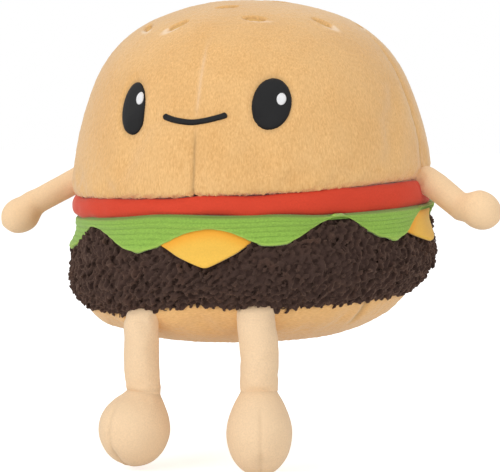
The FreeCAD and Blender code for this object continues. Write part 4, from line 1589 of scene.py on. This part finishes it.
class BURGER_OT_stage(bpy.types.Operator):
    """Set the pale floor, the soft lights and the camera"""

    bl_idname = "burger.stage"
    bl_label = "Stage"

    pixel = 0.605 * MM
    pixels_across = 500
    picture_width = pixels_across * pixel
    aim_height = 57.6 * MM
    aim = Vector((0, 0, aim_height)) - ACROSS * pixel
    distance = 1.2
    sensor = 36
    floor_size = 12
    floor_grain = 20 * MM
    floor_level = CAD_BOX[0].z - 0.5 * MM
    floor_glow = 0.6
    world_strength = 0.58

    def execute(self, context):
        self.camera()
        self.floor()
        self.world()
        self.lamp("key", (-0.9, -1.6, 0.9), size=1.5, power=15)
        self.lamp("fill", (1.6, -1.2, 0.4), size=1.6, power=9)
        self.lamp("top", (0.2, 0.3, 1.9), size=1.6, power=6)
        context.scene.view_settings.view_transform = "Standard"
        return {"FINISHED"}

    def camera(self):
        level = math.cos(VIEW_ELEVATION)
        sideways, forward = math.sin(VIEW_AZIMUTH) * level, -math.cos(VIEW_AZIMUTH) * level
        back = Vector((sideways, forward, math.sin(VIEW_ELEVATION)))
        camera = made(bpy.ops.object.camera_add, "camera", location=self.aim + back * self.distance)
        camera.rotation_mode = "QUATERNION"
        camera.rotation_quaternion = (-back).to_track_quat("-Z", "Y")
        camera.data.sensor_width = self.sensor
        camera.data.lens = self.sensor * self.distance / self.picture_width
        bpy.context.scene.camera = camera

    def floor(self):
        """A wide pale floor, with a glow for the camera alone that turns it white."""
        spot = {"size": self.floor_size, "location": (0, 0, self.floor_level)}
        floor = made(bpy.ops.mesh.primitive_plane_add, "floor", **spot)
        paper = Nodes("floor_paper", roughness=1.0)
        grain = paper.grain(self.floor_grain)
        tone = paper.mix(grain, scaled(colours().floor, 0.995), colours().floor)
        material = paper.done(tone, paper.bump(grain, 0.02, MM))
        seen = paper.add("ShaderNodeLightPath").outputs["Is Camera Ray"]
        strength = paper.product(seen, self.floor_glow)
        glow = paper.add("ShaderNodeEmission", Color=(1, 1, 1, 1), Strength=strength)
        both = paper.add("ShaderNodeAddShader")
        paper.feed(both, 0, paper.shader.outputs[0])
        paper.feed(both, 1, glow.outputs[0])
        output = next(node for node in paper.tree.nodes if node.type == "OUTPUT_MATERIAL")
        paper.feed(output, "Surface", both.outputs[0])
        floor.data.materials.append(material)

    def world(self):
        """Even white light, with a white background for the camera and for reflections."""
        world = bpy.data.worlds.new("studio")
        world.use_nodes = True
        bpy.context.scene.world = world
        tree = world.node_tree
        background = tree.nodes["Background"]
        background.inputs["Color"].default_value = (1, 1, 1, 1)
        path = tree.nodes.new("ShaderNodeLightPath")
        seen = path.outputs["Is Camera Ray"]
        for other in ("Is Glossy Ray", "Is Transmission Ray"):
            either = tree.nodes.new("ShaderNodeMath")
            either.operation = "MAXIMUM"
            tree.links.new(seen, either.inputs[0])
            tree.links.new(path.outputs[other], either.inputs[1])
            seen = either.outputs[0]
        strength = tree.nodes.new("ShaderNodeMapRange")
        tree.links.new(seen, strength.inputs["Value"])
        strength.inputs["To Min"].default_value = self.world_strength
        strength.inputs["To Max"].default_value = 1.0
        tree.links.new(strength.outputs["Result"], background.inputs["Strength"])

    def lamp(self, name, place, size, power):
        lamp = made(bpy.ops.object.light_add, name, type="AREA", location=place)
        lamp.data.shape = "DISK"
        lamp.data.size = size
        lamp.data.energy = power
        lamp.rotation_mode = "QUATERNION"
        lamp.rotation_quaternion = (self.aim - Vector(place)).to_track_quat("-Z", "Y")


class BURGER_PT_panel(bpy.types.Panel):
    """Lists the toy's sizes and colours, and the operators in the order they run"""

    bl_idname = "BURGER_PT_panel"
    bl_label = "Stuffed Hamburger"
    bl_space_type = "VIEW_3D"
    bl_region_type = "UI"
    bl_category = "Burger"

    def draw(self, context):
        for group in (context.scene.burger_sizes, context.scene.burger_colours):
            for key in group.bl_rna.properties.keys():
                if key not in ("rna_type", "name"):
                    self.layout.prop(group, key)
        for operator in OPERATORS:
            self.layout.operator(operator.bl_idname)


OPERATORS = (
    BURGER_OT_stage,
    BURGER_OT_top_bun,
    BURGER_OT_face,
    BURGER_OT_sesame_seeds,
    BURGER_OT_tomato,
    BURGER_OT_cheese,
    BURGER_OT_lettuce,
    BURGER_OT_patty,
    BURGER_OT_bottom_bun,
    BURGER_OT_arms,
    BURGER_OT_legs,
    BURGER_OT_feet,
    BURGER_OT_body_stuffing,
)
CLASSES = (BurgerSizes, BurgerColours, *OPERATORS, BURGER_PT_panel)


def register():
    for made in CLASSES:
        bpy.utils.register_class(made)
    bpy.types.Scene.burger_sizes = bpy.props.PointerProperty(type=BurgerSizes)
    bpy.types.Scene.burger_colours = bpy.props.PointerProperty(type=BurgerColours)


def unregister():
    del bpy.types.Scene.burger_colours
    del bpy.types.Scene.burger_sizes
    for made in reversed(CLASSES):
        bpy.utils.unregister_class(made)


def main():
    register()
    for operator in OPERATORS:
        group, name = operator.bl_idname.split(".")
        getattr(getattr(bpy.ops, group), name)()


if __name__ == "__main__":
    main()
